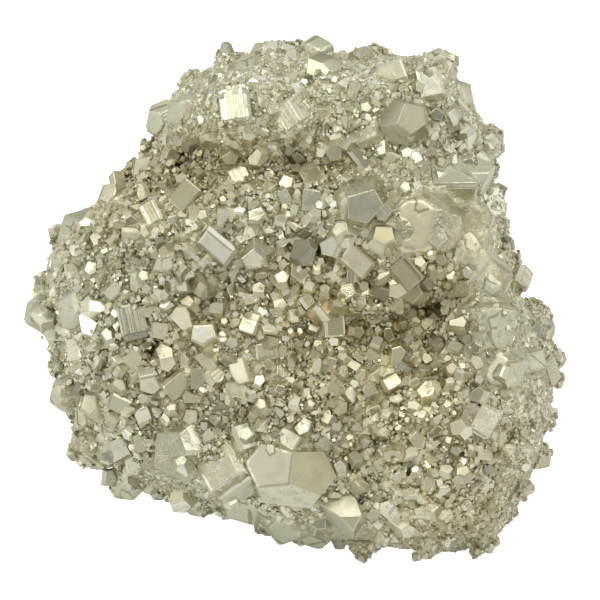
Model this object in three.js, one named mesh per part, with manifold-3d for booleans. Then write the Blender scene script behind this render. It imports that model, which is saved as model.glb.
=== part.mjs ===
// Raw pyrite: one intergrown cluster of pyritohedra and cubes on massive pyrite, broken at the back.
// Millimetres, +Z up, origin in the middle of the small flat spot that the cluster rests on.
// The crystal face looks towards -Y and leans back, so most places are given in its own axes:
// a runs across the face to the right, b up along the face, and c straight out of it.
import * as THREE from 'three';
import { ConvexGeometry } from 'three/addons/geometries/ConvexGeometry.js';
import { mergeVertices } from 'three/addons/utils/BufferGeometryUtils.js';
import Module from 'manifold-3d';

// Driving dimensions
const FACE_LEAN_DEG = 30; // how far the crystal face leans back from upright
const FRONT_DEPTH = 23; // crystal face above the widest outline
const BACK_DEPTH = 35; // unbroken back behind the widest outline
const FRONT_FULLNESS = 2.3; // exponent of the front's rounded profile
const BACK_FULLNESS = 2.6;
const CRUST_ALLOWANCE = 1.6; // how far crystals stand out of the massive body
const FRONT_ROUGHNESS = 1; // unevenness of the massive body between the crystals
const BACK_ROUGHNESS = 1.9; // and where it is broken
const FLOOR_DROP = 36.6; // from the middle of the outline down to the flat spot
const FLAT_SPOT = [6.8, -3.6]; // the flat spot's middle, right of and behind the middle of the outline
const BODY_DETAIL = 5; // subdivisions of the massive body
const CRYSTAL_EMBEDDED = 0.42; // how deep a larger crystal's middle lies, as a share of its radius
const ROUNDED_EMBEDDED = 0.62; // and a rounded one's or a lump's, in the smooth stretches
const FILL_POINTS = 400; // places tried for the crystals that fill the face between the larger ones
const FILL_END = -0.62; // how far round to the back those places go, from 1 in front to -1
const FILL_RADIUS = [2.5, 4.1];
const FILL_SPACING = 0.88; // least distance between two crystals, as a share of their radii's sum
const FILL_EMBEDDED = 0.42;
const CRYSTALS_END = -13; // crystals stop this far behind the outline, where the back is broken
const LUMP_POINTS = 60; // places tried for the coarse grains that stand out of the broken back
const LUMPS_START = -0.3; // how far round to the back those places begin
const LUMP_RADIUS = [3.6, 7.5];
const LUMP_SPACING = 0.74;
const LUMP_EMBEDDED = 0.66;
const COLOUR = 0xada583;

// Outline of the massive body and its crust, seen straight at the crystal face: [a, b]
const OUTLINE = [
  [38, 1.5], [36, 8], [34, 15], [32, 21], [33.5, 25.5], [31.5, 30], [28, 37], [25.5, 42.5], [19, 42],
  [10.5, 43.2], [3, 41.8], [-5, 43.8], [-14, 40.8], [-21.5, 36], [-23.5, 30], [-27, 24.5], [-32, 18.5],
  [-39, 14.5], [-43, 6.5], [-44.5, 0], [-41.5, -8.5], [-40, -16], [-38, -22.5], [-34, -27.5],
  [-26, -32], [-17, -34.8], [-8, -38.5], [0, -42.5], [6.5, -41.5], [15, -42.5], [24, -43.7],
  [32.5, -42], [36, -36], [39.8, -31], [42, -22], [44.3, -13], [43, -6],
];

// Broad swellings and hollows of the crystal face: [a, b, half-width across, half-width up, height]
const SWELLINGS = [
  [6, 34, 20, 7, 5.5], // top lobe
  [-13, 33, 7, 7, 2.5], // its left shoulder
  [21, 12, 11, 10, 8], // blocky bulge right of the middle
  [34, 0, 6, 14, 2.5], // flank below it
  [-8, 22.5, 18, 2.8, -5], // groove under the top lobe
  [20, 24, 13, 2.2, -3.5], // its right end
  [13, -5, 13, 6, -5], // hollow under the bulge
  [-15, 0, 5, 4, -2.5], // hollow left of the middle
  [-23, 12, 10, 9, 2.5], // left shoulder
  [-34, -6, 7, 8, 2],
  [-12, -28, 15, 6.5, 6], // ledge of the largest crystals
  [-3, -20.5, 12, 2.2, -2.5], // groove above that ledge
  [9, -29, 3, 9, -3.5], // cleft between the two lower lobes
  [25, -27, 12, 9, 5], // lower right lobe
];

// Planes on which the back broke: [a, b, c of the outward direction, distance from the outline's middle]
const BREAKS = [
  [0.05, 0.1, -1, 28], [0.62, 0.22, -0.75, 30.5], [-0.66, 0.1, -0.75, 31.5], [0.12, 0.78, -0.62, 34],
  [-0.52, 0.62, -0.58, 33.5], [0.62, -0.4, -0.68, 37.5], [-0.6, -0.42, -0.68, 35.5],
  [0.55, 0.7, -0.45, 37],
];

// Small pits between the crystals: [a, b, radius]
const PITS = [
  [-18.2, 22.4, 2.6], [-16, 0.4, 2], [6.2, 6.2, 1.8], [-23.5, -8.5, 1.7], [21.5, -1.8, 2.2],
  [34.8, -22, 1.4],
];

// The larger crystals: [a, b, radius, habit, leading facet's lean to the right and upwards, spin in degrees]
const CRYSTALS = [
  [-1.8, -30, 6.9, 'broad', 3, 6, 86], [-20.9, -25.2, 5.6, 'pyritohedron', -28, -6, 64],
  [-13, -29.4, 6, 'cube', -24, 18, 32], [7.4, -34.2, 4.3, 'pyritohedron', -8, 22, 5],
  [-25, -13.2, 3, 'pyritohedron', -6, -18, 10], [-20.9, -14, 2.9, 'blocky', 22, -8, 40],
  [-27.8, -4.2, 3.5, 'cube', -4, 16, 12], [-13.2, 9, 3.7, 'cube', -20, -10, 52],
  [-7.3, 7.6, 3.4, 'pyritohedron', -14, -22, 30], [-7, 13.6, 2.4, 'pyritohedron', -10, 22, 14],
  [-3.2, 3.2, 1.9, 'pyritohedron', 8, 22, 40], [-15.8, -5.6, 3.4, 'pyritohedron', -6, 10, 0],
  [-8.2, -4.2, 2.4, 'blocky', -6, 20, 70], [-3.6, -1.2, 2, 'pyritohedron', 12, 18, 25],
  [-14, -12.8, 2.1, 'pyritohedron', 16, 18, 50], [-5, -8.3, 2.5, 'blocky', -12, 4, 8],
  [-9.6, -22.4, 2.9, 'cube', 18, 20, 20], [-1.5, -22.6, 2.6, 'cube', -26, 14, 60],
  [9.6, 16.6, 5.2, 'pyritohedron', 4, 2, 18], [11, 23.4, 4.4, 'cube', 10, 4, 38],
  [18.2, 28.4, 4.5, 'pyritohedron', 14, 16, 74], [15.8, 38.2, 3.1, 'blocky', -12, 12, 20],
  [22, 36.4, 3.4, 'cube', 4, 14, 12], [0, 29.8, 4.6, 'blocky', -18, 20, 33],
  [-10.8, 32.4, 4.2, 'cube', -8, 24, 8], [-5, 32, 1.9, 'cube', 20, 22, 20],
  [-20.2, 32.4, 4.8, 'rounded', -34, -10, 15], [-22.6, 29.6, 3.4, 'lump', -42, -4, 30],
  [-14.7, 22.8, 1.9, 'pyritohedron', 4, -4, 0], [-10, 21.2, 2.6, 'cube', -2, 24, 24],
  [-19, 17.8, 3.3, 'blocky', -12, 8, 50], [-24.8, 14.4, 2.6, 'cube', -16, 20, 28],
  [1.6, 22.8, 2.7, 'cube', 30, -8, 4], [1.4, 16.8, 2.5, 'blocky', 12, 6, 84],
  [7.4, 11, 2.7, 'pyritohedron', -4, -32, 36], [13.4, 9.6, 2.9, 'pyritohedron', 6, 20, 2],
  [9.8, 6.2, 3.4, 'cube', -26, -16, 50], [18, 4, 3.2, 'cube', -14, -12, 40],
  [26.8, 19.2, 5, 'cube', 6, 34, 93], [22, 13.2, 9, 'rounded', -4, 6, 4],
  [29.4, 11.6, 7.4, 'rounded', 26, 0, 62], [31.4, 16.4, 4.4, 'blocky', 38, 6, 10],
  [28.6, 5.4, 5.6, 'rounded', 22, -16, 30], [5.8, -3.8, 2.9, 'cube', 0, -10, 4],
  [6.8, -18.4, 2.3, 'pyritohedron', -4, 12, 55], [4, -21, 1.8, 'cube', -20, 24, 40],
  [27, -28.8, 2.1, 'pyritohedron', 10, 20, 16], [30.8, -20, 3.5, 'blocky', 10, 10, 60],
  [26.6, -21, 2.3, 'pyritohedron', -18, 6, 12], [21, -15, 2.4, 'pyritohedron', -8, 20, 44],
  [21, -35, 2.6, 'pyritohedron', 14, 24, 80], [39, -10, 2.7, 'blocky', 44, 8, 12],
  [41.6, -12, 2.8, 'cube', 60, 10, 30], [-37.6, -8.6, 2.3, 'cube', -30, 20, 10],
  [-30.8, -25.4, 3.4, 'blocky', -26, -12, 28], [-27.6, -27.8, 2.8, 'pyritohedron', -20, -20, 77],
  [-19.6, -33.2, 2.7, 'pyritohedron', -10, -40, 20], [-34.6, -17.6, 3.2, 'pyritohedron', -36, 2, 48],
  [-36.4, -20.4, 2, 'cube', -30, 18, 8], [-29.8, -17.2, 2.3, 'cube', -16, -10, 66],
  [-38, 12, 4, 'lump', -44, 22, 36], [-31, 17.4, 2.8, 'pyritohedron', -30, 26, 60],
  [-25.8, 22.6, 2.6, 'blocky', -40, 14, 5], [10.4, 41, 2.4, 'pyritohedron', 0, 44, 30],
  [24, 40.4, 3.2, 'lump', 24, 38, 10], [31.6, 25.6, 3.4, 'lump', 52, 6, 34],
  [36.6, 3.6, 2.4, 'blocky', 54, 4, 56], [29.8, 21.6, 2.4, 'cube', 34, -6, 20],
  [32.6, 4.4, 5.4, 'lump', 30, 4, 10], [32.4, -4.6, 6, 'lump', 26, -4, 50],
  [34.6, -11.4, 4.6, 'lump', 34, -8, 20], [-40, 6.6, 3.2, 'lump', -46, 6, 12],
  [-38.4, -2, 3.6, 'lump', -40, 2, 66], [-38.6, -15.4, 3.2, 'lump', -44, -6, 30],
  [-35, -24.4, 3.6, 'lump', -44, -20, 8], [-28.8, -30, 3.6, 'lump', -30, -36, 44],
  [-9.4, -35.2, 4.6, 'lump', -14, -40, 26], [-4, -38, 4.6, 'lump', -6, -44, 70],
  [3.4, -39.8, 3.4, 'lump', 4, -44, 15], [27.4, 34.4, 3.2, 'lump', 42, 24, 50],
  [-15.4, 36.8, 3.4, 'lump', -30, 30, 20], [-9.4, 39.4, 3.4, 'lump', -16, 40, 50],
  [2.8, 41.4, 3.2, 'lump', 4, 44, 5],
];

// Habits: facets as [direction, distance from the crystal's middle for a radius of 1], and proportions
const HABITS = {
  pyritohedron: { facets: pentagonalFacets(0.8), proportions: [1, 1, 1], leading: [0, 2, 1] },
  broad: { facets: pentagonalFacets(0.8), proportions: [0.95, 0.9, 1.25], leading: [0, 1, 0] },
  cube: { facets: squareFacets(0.68), proportions: [0.9, 1.25, 1], leading: [0, 0, 1] },
  blocky: {
    facets: [...squareFacets(0.7), ...pentagonalFacets(0.79).slice(0, 4)],
    proportions: [1.1, 0.95, 1],
    leading: [0, 0, 1],
  },
  rounded: {
    facets: [...squareFacets(0.8), ...pentagonalFacets(0.82), ...cornerFacets(0.86)],
    proportions: [1.08, 0.82, 0.8],
    leading: [0, 0, 1],
  },
  lump: {
    facets: [...squareFacets(0.84), ...cornerFacets(0.86)],
    proportions: [1.1, 1, 1],
    leading: [0, 0, 1],
  },
};

function squareFacets(distance) {
  const directions = [[1, 0, 0], [-1, 0, 0], [0, 1, 0], [0, -1, 0], [0, 0, 1], [0, 0, -1]];
  return directions.map((direction) => [direction, distance]);
}

function pentagonalFacets(distance) {
  const signs = [[1, 1], [1, -1], [-1, 1], [-1, -1]];
  const turned = (s, t) => [[0, 2 * s, t], [t, 0, 2 * s], [2 * s, t, 0]];
  return [0, 1, 2].flatMap((axis) => signs.map(([s, t]) => [turned(s, t)[axis], distance]));
}

function cornerFacets(distance) {
  const signs = [1, -1];
  return signs.flatMap((x) => signs.flatMap((y) => signs.map((z) => [[x, y, z], distance])));
}

const wasm = await Module();
wasm.setup();

const radians = THREE.MathUtils.degToRad;
const lean = radians(FACE_LEAN_DEG);
const faceAcross = new THREE.Vector3(1, 0, 0);
const faceUp = new THREE.Vector3(0, Math.sin(lean), Math.cos(lean));
const faceOut = new THREE.Vector3(0, -Math.cos(lean), Math.sin(lean));
const faceMiddle = new THREE.Vector3(-FLAT_SPOT[0], -FLAT_SPOT[1], FLOOR_DROP);
const faceToPart = new THREE.Matrix4().makeBasis(faceAcross, faceUp, faceOut).setPosition(faceMiddle);

// A repeatable stream of numbers from 0 to 1
function numberStream(seed) {
  let state = seed >>> 0;
  return () => {
    state = (Math.imul(state, 1664525) + 1013904223) >>> 0;
    return state / 4294967296;
  };
}

const outlinePolar = OUTLINE.map(([a, b]) => [Math.atan2(b, a), Math.hypot(a, b) - CRUST_ALLOWANCE])
  .sort((p, q) => p[0] - q[0]);

// The outline's radius in a direction in the face's plane, eased from corner to corner
function outlineRadius(angle) {
  const count = outlinePolar.length;
  const after = outlinePolar.findIndex((p) => p[0] > angle);
  const next = outlinePolar[after < 0 ? 0 : after];
  const last = outlinePolar[((after < 0 ? 0 : after) + count - 1) % count];
  const turn = 2 * Math.PI;
  const span = (next[0] - last[0] + turn) % turn;
  const along = ((angle - last[0] + turn) % turn) / span;
  const ease = (1 - Math.cos(Math.PI * along)) / 2;
  return last[1] + (next[1] - last[1]) * ease;
}

function swelling(a, b) {
  return SWELLINGS.reduce((sum, [ca, cb, wa, wb, height]) => {
    const far = ((a - ca) / wa) ** 2 + ((b - cb) / wb) ** 2;
    return sum + height * Math.exp(-far / 2);
  }, 0);
}

// An unevenness from -1 to 1 that varies over the body, for a direction from its middle
function unevenness({ x, y, z }) {
  const slow = Math.sin(5.3 * x + 2.1 * z + 0.4) * Math.sin(4.7 * y - 3.3 * z + 1.3);
  const quick = Math.sin(11.9 * x - 7.1 * y + 2.2) * Math.sin(12.7 * z + 6.3 * y + 0.9);
  return 0.55 * slow + 0.45 * quick;
}

// The body's surface in a direction from its middle, in the face's axes
function bodyPoint(direction) {
  const { x, y, z } = direction;
  const flat = Math.hypot(x, y);
  const front = z > 0;
  const power = front ? FRONT_FULLNESS : BACK_FULLNESS;
  const depth = front ? FRONT_DEPTH : BACK_DEPTH;
  const radius = outlineRadius(Math.atan2(y, x));
  const backShare = THREE.MathUtils.clamp(-2.5 * z, 0, 1);
  const roughness = FRONT_ROUGHNESS + (BACK_ROUGHNESS - FRONT_ROUGHNESS) * backShare;
  const reach = ((flat / radius) ** power + (Math.abs(z) / depth) ** power) ** (-1 / power);
  const point = direction.clone().multiplyScalar(reach + roughness * unevenness(direction));
  if (front) point.z += swelling(point.x, point.y) * Math.min(1, (2 * point.z) / FRONT_DEPTH);
  return point;
}

// The surface's point and outward direction at a place given across and up the crystal face
function facePlace(a, b) {
  const heightAt = (p, q) => {
    const share = Math.min(0.985, Math.hypot(p, q) / outlineRadius(Math.atan2(q, p)));
    const height = FRONT_DEPTH * (1 - share ** FRONT_FULLNESS) ** (1 / FRONT_FULLNESS);
    return height + swelling(p, q) * Math.min(1, (2 * height) / FRONT_DEPTH);
  };
  const step = 0.6;
  const slopeA = (heightAt(a + step, b) - heightAt(a - step, b)) / (2 * step);
  const slopeB = (heightAt(a, b + step) - heightAt(a, b - step)) / (2 * step);
  const point = new THREE.Vector3(a, b, heightAt(a, b));
  const out = new THREE.Vector3(-slopeA, -slopeB, 1).normalize();
  return { point, out };
}

// Corners of the convex form that a set of planes encloses
function cornersOf(planes) {
  const corners = [];
  for (let i = 0; i < planes.length; i++)
    for (let j = i + 1; j < planes.length; j++)
      for (let k = j + 1; k < planes.length; k++) {
        const [p, q, r] = [planes[i], planes[j], planes[k]];
        const cross = new THREE.Vector3().crossVectors(q.normal, r.normal);
        const scale = p.normal.dot(cross);
        if (Math.abs(scale) < 1e-6) continue;
        const corner = cross.multiplyScalar(p.distance)
          .addScaledVector(new THREE.Vector3().crossVectors(r.normal, p.normal), q.distance)
          .addScaledVector(new THREE.Vector3().crossVectors(p.normal, q.normal), r.distance)
          .divideScalar(scale);
        const inside = planes.every((s) => s.normal.dot(corner) <= s.distance + 1e-5);
        const known = corners.some((c) => c.distanceTo(corner) < 1e-4);
        if (inside && !known) corners.push(corner);
      }
  return corners;
}

// A habit's planes, each a little nearer or further than the ideal one, as in a crowded crystal
function habitPlanes(habit, random) {
  return habit.facets.map(([direction, ideal]) => {
    const distance = ideal * (0.93 + 0.14 * random());
    return { normal: new THREE.Vector3(...direction).normalize(), distance };
  });
}

function solidOf(geometry) {
  geometry.deleteAttribute('normal');
  geometry.deleteAttribute('uv');
  const merged = mergeVertices(geometry, 1e-4);
  const vertProperties = new Float32Array(merged.attributes.position.array);
  const triVerts = new Uint32Array(merged.index.array);
  return new wasm.Manifold(new wasm.Mesh({ numProp: 3, vertProperties, triVerts }));
}

// One crystal with its leading facet turned to a direction, in the face's axes
function crystalSolid({ place, radius, habitName, towards, spin, random }) {
  const habit = HABITS[habitName];
  const corners = cornersOf(habitPlanes(habit, random));
  const proportions = new THREE.Vector3(...habit.proportions).multiplyScalar(radius);
  const leading = new THREE.Vector3(...habit.leading).divide(proportions).normalize();
  const turn = new THREE.Quaternion().setFromUnitVectors(leading, towards);
  const spun = new THREE.Quaternion().setFromAxisAngle(towards, spin).multiply(turn);
  const geometry = new ConvexGeometry(corners.map((c) => c.multiply(proportions)));
  geometry.applyQuaternion(spun).translate(place.x, place.y, place.z);
  return solidOf(geometry);
}

function bodySolid() {
  const geometry = new THREE.IcosahedronGeometry(1, BODY_DETAIL);
  const corners = geometry.attributes.position;
  for (let i = 0; i < corners.count; i++) {
    const point = bodyPoint(new THREE.Vector3().fromBufferAttribute(corners, i).normalize());
    corners.setXYZ(i, point.x, point.y, point.z);
  }
  return solidOf(geometry);
}

// A large block whose near side lies on a plane, for cutting off all that is beyond the plane
function beyondPlane(outward, distance) {
  const size = 200;
  const lying = new THREE.Quaternion().setFromUnitVectors(new THREE.Vector3(0, 0, 1), outward);
  const middle = outward.clone().multiplyScalar(distance + size / 2);
  const block = new THREE.BoxGeometry(size, size, size).applyQuaternion(lying);
  return solidOf(block.translate(middle.x, middle.y, middle.z));
}

const breakPlanes = BREAKS.map(([a, b, c, distance]) => {
  return { outward: new THREE.Vector3(a, b, c).normalize(), distance };
});

function pitSolid([a, b, radius]) {
  const { point } = facePlace(a, b);
  const pit = new THREE.DodecahedronGeometry(radius);
  return solidOf(pit.translate(point.x, point.y, point.z - radius * 0.2));
}

// The larger crystals, one for each row of the list
function listedCrystals() {
  return CRYSTALS.map(([a, b, radius, habitName, right, up, spinDeg], index) => {
    const { point, out } = facePlace(a, b);
    const towards = new THREE.Vector3(Math.tan(radians(right)), Math.tan(radians(up)), 1).normalize();
    const smooth = habitName === 'rounded' || habitName === 'lump';
    const embedded = smooth ? ROUNDED_EMBEDDED : CRYSTAL_EMBEDDED;
    const place = point.addScaledVector(out, -embedded * radius);
    return { place, radius, habitName, towards, spin: radians(spinDeg), random: numberStream(index + 1) };
  });
}

// Directions from the middle of the body, evenly spread along a spiral from one c to another
function spiralDirection(index, count, from, to) {
  const goldenAngle = Math.PI * (3 - Math.sqrt(5));
  const z = from + ((to - from) * (index + 0.5)) / count;
  const flat = Math.sqrt(1 - z * z);
  return new THREE.Vector3(flat * Math.cos(goldenAngle * index), flat * Math.sin(goldenAngle * index), z);
}

function isCrowded(placed, place, radius, spacing) {
  return placed.some((c) => c.place.distanceTo(place) < spacing * (c.radius + radius));
}

// Smaller crystals between them, over the front and the flanks
function fillingCrystals(listed) {
  const placed = [...listed];
  const random = numberStream(77);
  for (let i = 0; i < FILL_POINTS; i++) {
    const place = bodyPoint(spiralDirection(i, FILL_POINTS, 1, FILL_END));
    const radius = FILL_RADIUS[0] + (FILL_RADIUS[1] - FILL_RADIUS[0]) * random() ** 1.6;
    const [wobbleA, wobbleB, spin] = [random() - 0.5, random() - 0.5, 2 * Math.PI * random()];
    const habitName = random() < 0.45 ? 'pyritohedron' : 'cube';
    const towards = place.clone().divide(new THREE.Vector3(1, 1, 0.7)).normalize();
    towards.add(new THREE.Vector3(wobbleA, wobbleB, 0)).normalize();
    place.addScaledVector(towards, -FILL_EMBEDDED * radius);
    const height = place.clone().applyMatrix4(faceToPart).z;
    const brokenOff = breakPlanes.some((p) => p.outward.dot(place) > p.distance - 0.4 * radius);
    const outside = brokenOff || place.z < CRYSTALS_END || height < 1.3 * radius;
    if (outside || isCrowded(placed, place, radius, FILL_SPACING)) continue;
    placed.push({ place, radius, habitName, towards, spin, random: numberStream(1000 + i) });
  }
  return placed.slice(listed.length);
}

// The body's surface where the back has broken off, in a direction from its middle
function brokenPoint(direction) {
  const point = bodyPoint(direction);
  for (const { outward, distance } of breakPlanes) {
    const share = point.dot(outward) / distance;
    if (share > 1) point.divideScalar(share);
  }
  return point;
}

// Coarse grains of massive pyrite that stand out of the broken back
function backLumps() {
  const placed = [];
  const random = numberStream(505);
  for (let i = 0; i < LUMP_POINTS; i++) {
    const direction = spiralDirection(i, LUMP_POINTS, LUMPS_START, -1);
    const radius = LUMP_RADIUS[0] + (LUMP_RADIUS[1] - LUMP_RADIUS[0]) * random() ** 1.4;
    const towards = new THREE.Vector3(random() - 0.5, random() - 0.5, random() - 0.5).normalize();
    const [spin, habitName] = [2 * Math.PI * random(), random() < 0.3 ? 'pyritohedron' : 'cube'];
    const place = brokenPoint(direction).addScaledVector(direction, -LUMP_EMBEDDED * radius);
    if (place.z > CRYSTALS_END + 4 || isCrowded(placed, place, radius, LUMP_SPACING)) continue;
    placed.push({ place, radius, habitName, towards, spin, random: numberStream(3000 + i) });
  }
  return placed;
}

function clusterSolid() {
  let body = bodySolid();
  for (const { outward, distance } of breakPlanes) body = body.subtract(beyondPlane(outward, distance));
  const listed = listedCrystals();
  const crystals = [...listed, ...fillingCrystals(listed), ...backLumps()];
  for (const crystal of crystals) body = body.add(crystalSolid(crystal));
  for (const pit of PITS) body = body.subtract(pitSolid(pit));
  const floorDirection = new THREE.Vector3(0, 0, -1).transformDirection(faceToPart.clone().invert());
  return body.subtract(beyondPlane(floorDirection, FLOOR_DROP));
}

function pyriteMaterial() {
  const finish = { roughness: 0.32, metalness: 1, flatShading: true };
  return new THREE.MeshStandardMaterial({ color: COLOUR, ...finish });
}

function pyriteMesh() {
  const { vertProperties, triVerts } = clusterSolid().getMesh();
  const geometry = new THREE.BufferGeometry()
    .setAttribute('position', new THREE.BufferAttribute(new Float32Array(vertProperties), 3))
    .setIndex(new THREE.BufferAttribute(new Uint32Array(triVerts), 1));
  const mesh = new THREE.Mesh(geometry, pyriteMaterial());
  mesh.name = 'pyrite_cluster';
  return mesh;
}

const cluster = new THREE.Group();
const specimen = new THREE.Group(); // stands the leaning face up over the flat spot
specimen.applyMatrix4(faceToPart);
specimen.add(pyriteMesh());
cluster.add(specimen);

export default cluster;
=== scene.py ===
"""Raw pyrite: thousands of intergrown crystals on massive pyrite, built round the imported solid.

Places on the crystal face are given in millimetres in its own axes, a across to the right, b up along the
face and c straight out of it. Everything else is in the part's frame.
"""

import math
from dataclasses import dataclass

import bpy
import numpy as np
from bpy.props import FloatProperty, FloatVectorProperty, IntProperty, PointerProperty
from mathutils import Matrix, Vector
from mathutils.bvhtree import BVHTree
from mathutils.kdtree import KDTree


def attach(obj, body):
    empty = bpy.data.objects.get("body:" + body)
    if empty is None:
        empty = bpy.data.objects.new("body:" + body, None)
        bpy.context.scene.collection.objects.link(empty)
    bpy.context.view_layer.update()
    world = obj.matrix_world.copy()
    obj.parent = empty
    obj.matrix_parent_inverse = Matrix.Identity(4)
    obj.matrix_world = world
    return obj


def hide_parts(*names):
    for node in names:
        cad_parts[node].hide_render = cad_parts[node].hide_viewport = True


bl_info = {
    "name": "Raw pyrite cluster",
    "version": (1, 0, 0),
    "blender": (4, 5, 0),
    "location": "3D View > Sidebar > Pyrite",
    "description": "Grows the crystals of a raw pyrite cluster on its solid",
    "category": "Object",
}

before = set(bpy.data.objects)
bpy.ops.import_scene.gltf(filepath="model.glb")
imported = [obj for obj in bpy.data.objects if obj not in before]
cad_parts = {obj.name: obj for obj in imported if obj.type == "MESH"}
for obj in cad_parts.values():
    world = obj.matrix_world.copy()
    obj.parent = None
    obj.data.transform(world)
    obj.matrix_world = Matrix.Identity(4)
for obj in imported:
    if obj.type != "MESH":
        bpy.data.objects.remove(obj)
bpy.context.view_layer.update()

NODE = "pyrite_cluster"
BODY = "root"
MM = 0.001

# The crystal face leans back, and its axes are seen from the part's frame
FACE_LEAN = math.radians(30)
ACROSS = np.array((1, 0, 0))
UP = np.array((0, math.sin(FACE_LEAN), math.cos(FACE_LEAN)))
OUT = np.array((0, -math.cos(FACE_LEAN), math.sin(FACE_LEAN)))
FACE_AXES = np.array((ACROSS, UP, OUT))
FACE_MIDDLE = np.array((-6.8, 3.6, 36.6))

# The front of the massive body, as the solid has it
FRONT_DEPTH = 23
FRONT_FULLNESS = 2.3
CRUST_ALLOWANCE = 1.6
RIM_SHARE = 0.985  # the front falls no further than this share of the way to its outline
SLOPE_STEP = 0.6  # half the distance over which its slope is measured

# Where the broken back begins along c, how gradually, and how high the plain foot reaches
BACK_EDGE = -11
BACK_BLEND = 4
FOOT_BLEND = 1.2

# The larger crystals: how deep they sit, as a share of their radius, and which of them stay bare
CRYSTAL_EMBEDDED = 0.42
ROUNDED_EMBEDDED = 0.62
BARE_RADIUS = 4.2
BARE_BELOW = -20

# Scattered crystals: their least height over the floor in radii, their largest radius at the rim, and how
# much deeper they sit at the rim and in the granular and smooth stretches, in radii
FOOT_ROOM = 1.3
RIM_RADIUS = 1.3
RIM_SINK = 0.14
FLAT_SINK = 0.14

# Crystals modelled with a radius of 1: how much the distances of a small one's facets differ, the width
# of a worn edge, the least area of a facet that layers and ribs grow on, and how small ones are stretched
UNEVENNESS = 0.26
WORN_EDGE = 0.035
LEAST_FACET_AREA = 0.05
STRETCH = (0.76, 1.28)

# Wear and growth of the larger crystals. Wear and ribs are in millimetres, the other two in radii
EDGE_WEAR = 0.04
LEAST_WEAR = 0.002
LAYER_STEPS = (0.04, 0.14)
RIB_WIDTHS = (0.2, 0.75)
RIB_HEIGHTS = (0.04, 0.09)
MOST_RIBS = 32

# How facets of one crystal differ in brightness, which is painted light and shade for each facet's own
# reflection, and in gloss, frosting and growth lines, which start at a random place of their pattern, in
# millimetres.
# Darker facets are also more olive, painted as for the light that metal facets throw on one another
FACET_CONTRAST = 0.13
FACET_SHADES = (0.66, 1.24)
SHADE_POWERS = np.array((1, 1.07, 1.5))
FACET_GLOSS = (-0.05, 0.09)
FACET_FROST = (0, 0.4, 1, 1.3)
FACET_LINES = (0.15, 0.6, 1)
PATTERN_REACH = 60

# How crystals differ in brightness, how much painted shade darkens them in the hollows, and how much painted
# light brightens them in the lit stretches
OWN_TINT_SPREAD = np.array((0.085, 0.085, 0.105))
OWN_TINT_LIMITS = (0.74, 1.26)
HOLLOW_PAINTED_SHADE = np.array((0.36, 0.38, 0.46))
PAINTED_LIGHT_GAIN = 0.13

# The camera, for a picture 600 pixels wide at 6 pixels to the millimetre
CAMERA_DISTANCE = 1.6
VIEW_WIDTH = 600 / 6 * MM

# The light, with its soft boxes and dark cards: [direction in the face's axes, half-width, strength]
LIGHT_COLOUR = (1, 0.985, 0.885)
TENT_LEVELS = (0.45, 0.82)
SOFT_BOXES = (
    ((-0.32, 0.66, 0.68), 0.22, 1.0),
    ((-0.02, 0.69, 0.72), 0.22, 1.1),
    ((0.28, 0.66, 0.69), 0.22, 0.95),
    ((-0.85, 0.2, 0.45), 0.22, 1.2),
    ((0.85, 0.3, 0.4), 0.22, 1.2),
    ((0.1, 0.0, 1.0), 0.45, -0.25),
    ((0.6, -0.6, 0.6), 0.4, -0.25),
    ((-0.3, -0.2, -1.0), 0.4, 0.8),
    ((0.9, 0.1, -0.5), 0.3, 0.8),
    ((-0.9, 0.0, -0.5), 0.3, 0.8),
)

# How nodes are laid out in the editor
NODES_IN_ROW = 8
NODE_STEP = 200

# Outline of the massive body and its crust, seen straight at the crystal face: [a, b]
OUTLINE = (
    (38, 1.5), (36, 8), (34, 15), (32, 21), (33.5, 25.5), (31.5, 30), (28, 37), (25.5, 42.5), (19, 42),
    (10.5, 43.2), (3, 41.8), (-5, 43.8), (-14, 40.8), (-21.5, 36), (-23.5, 30), (-27, 24.5), (-32, 18.5),
    (-39, 14.5), (-43, 6.5), (-44.5, 0), (-41.5, -8.5), (-40, -16), (-38, -22.5), (-34, -27.5),
    (-26, -32), (-17, -34.8), (-8, -38.5), (0, -42.5), (6.5, -41.5), (15, -42.5), (24, -43.7),
    (32.5, -42), (36, -36), (39.8, -31), (42, -22), (44.3, -13), (43, -6),
)

# Broad swellings and hollows of the crystal face: [a, b, half-width across, half-width up, height]
SWELLINGS = (
    (6, 34, 20, 7, 5.5), (-13, 33, 7, 7, 2.5), (21, 12, 11, 10, 8), (34, 0, 6, 14, 2.5),
    (-8, 22.5, 18, 2.8, -5), (20, 24, 13, 2.2, -3.5), (13, -5, 13, 6, -5), (-15, 0, 5, 4, -2.5),
    (-23, 12, 10, 9, 2.5), (-34, -6, 7, 8, 2), (-12, -28, 15, 6.5, 6), (-3, -20.5, 12, 2.2, -2.5),
    (9, -29, 3, 9, -3.5), (25, -27, 12, 9, 5),
)

# Small pits between the crystals: [a, b, radius]
PITS = (
    (-18.2, 22.4, 2.6), (-16, 0.4, 2), (6.2, 6.2, 1.8), (-23.5, -8.5, 1.7), (21.5, -1.8, 2.2),
    (34.8, -22, 1.4),
)

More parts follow.
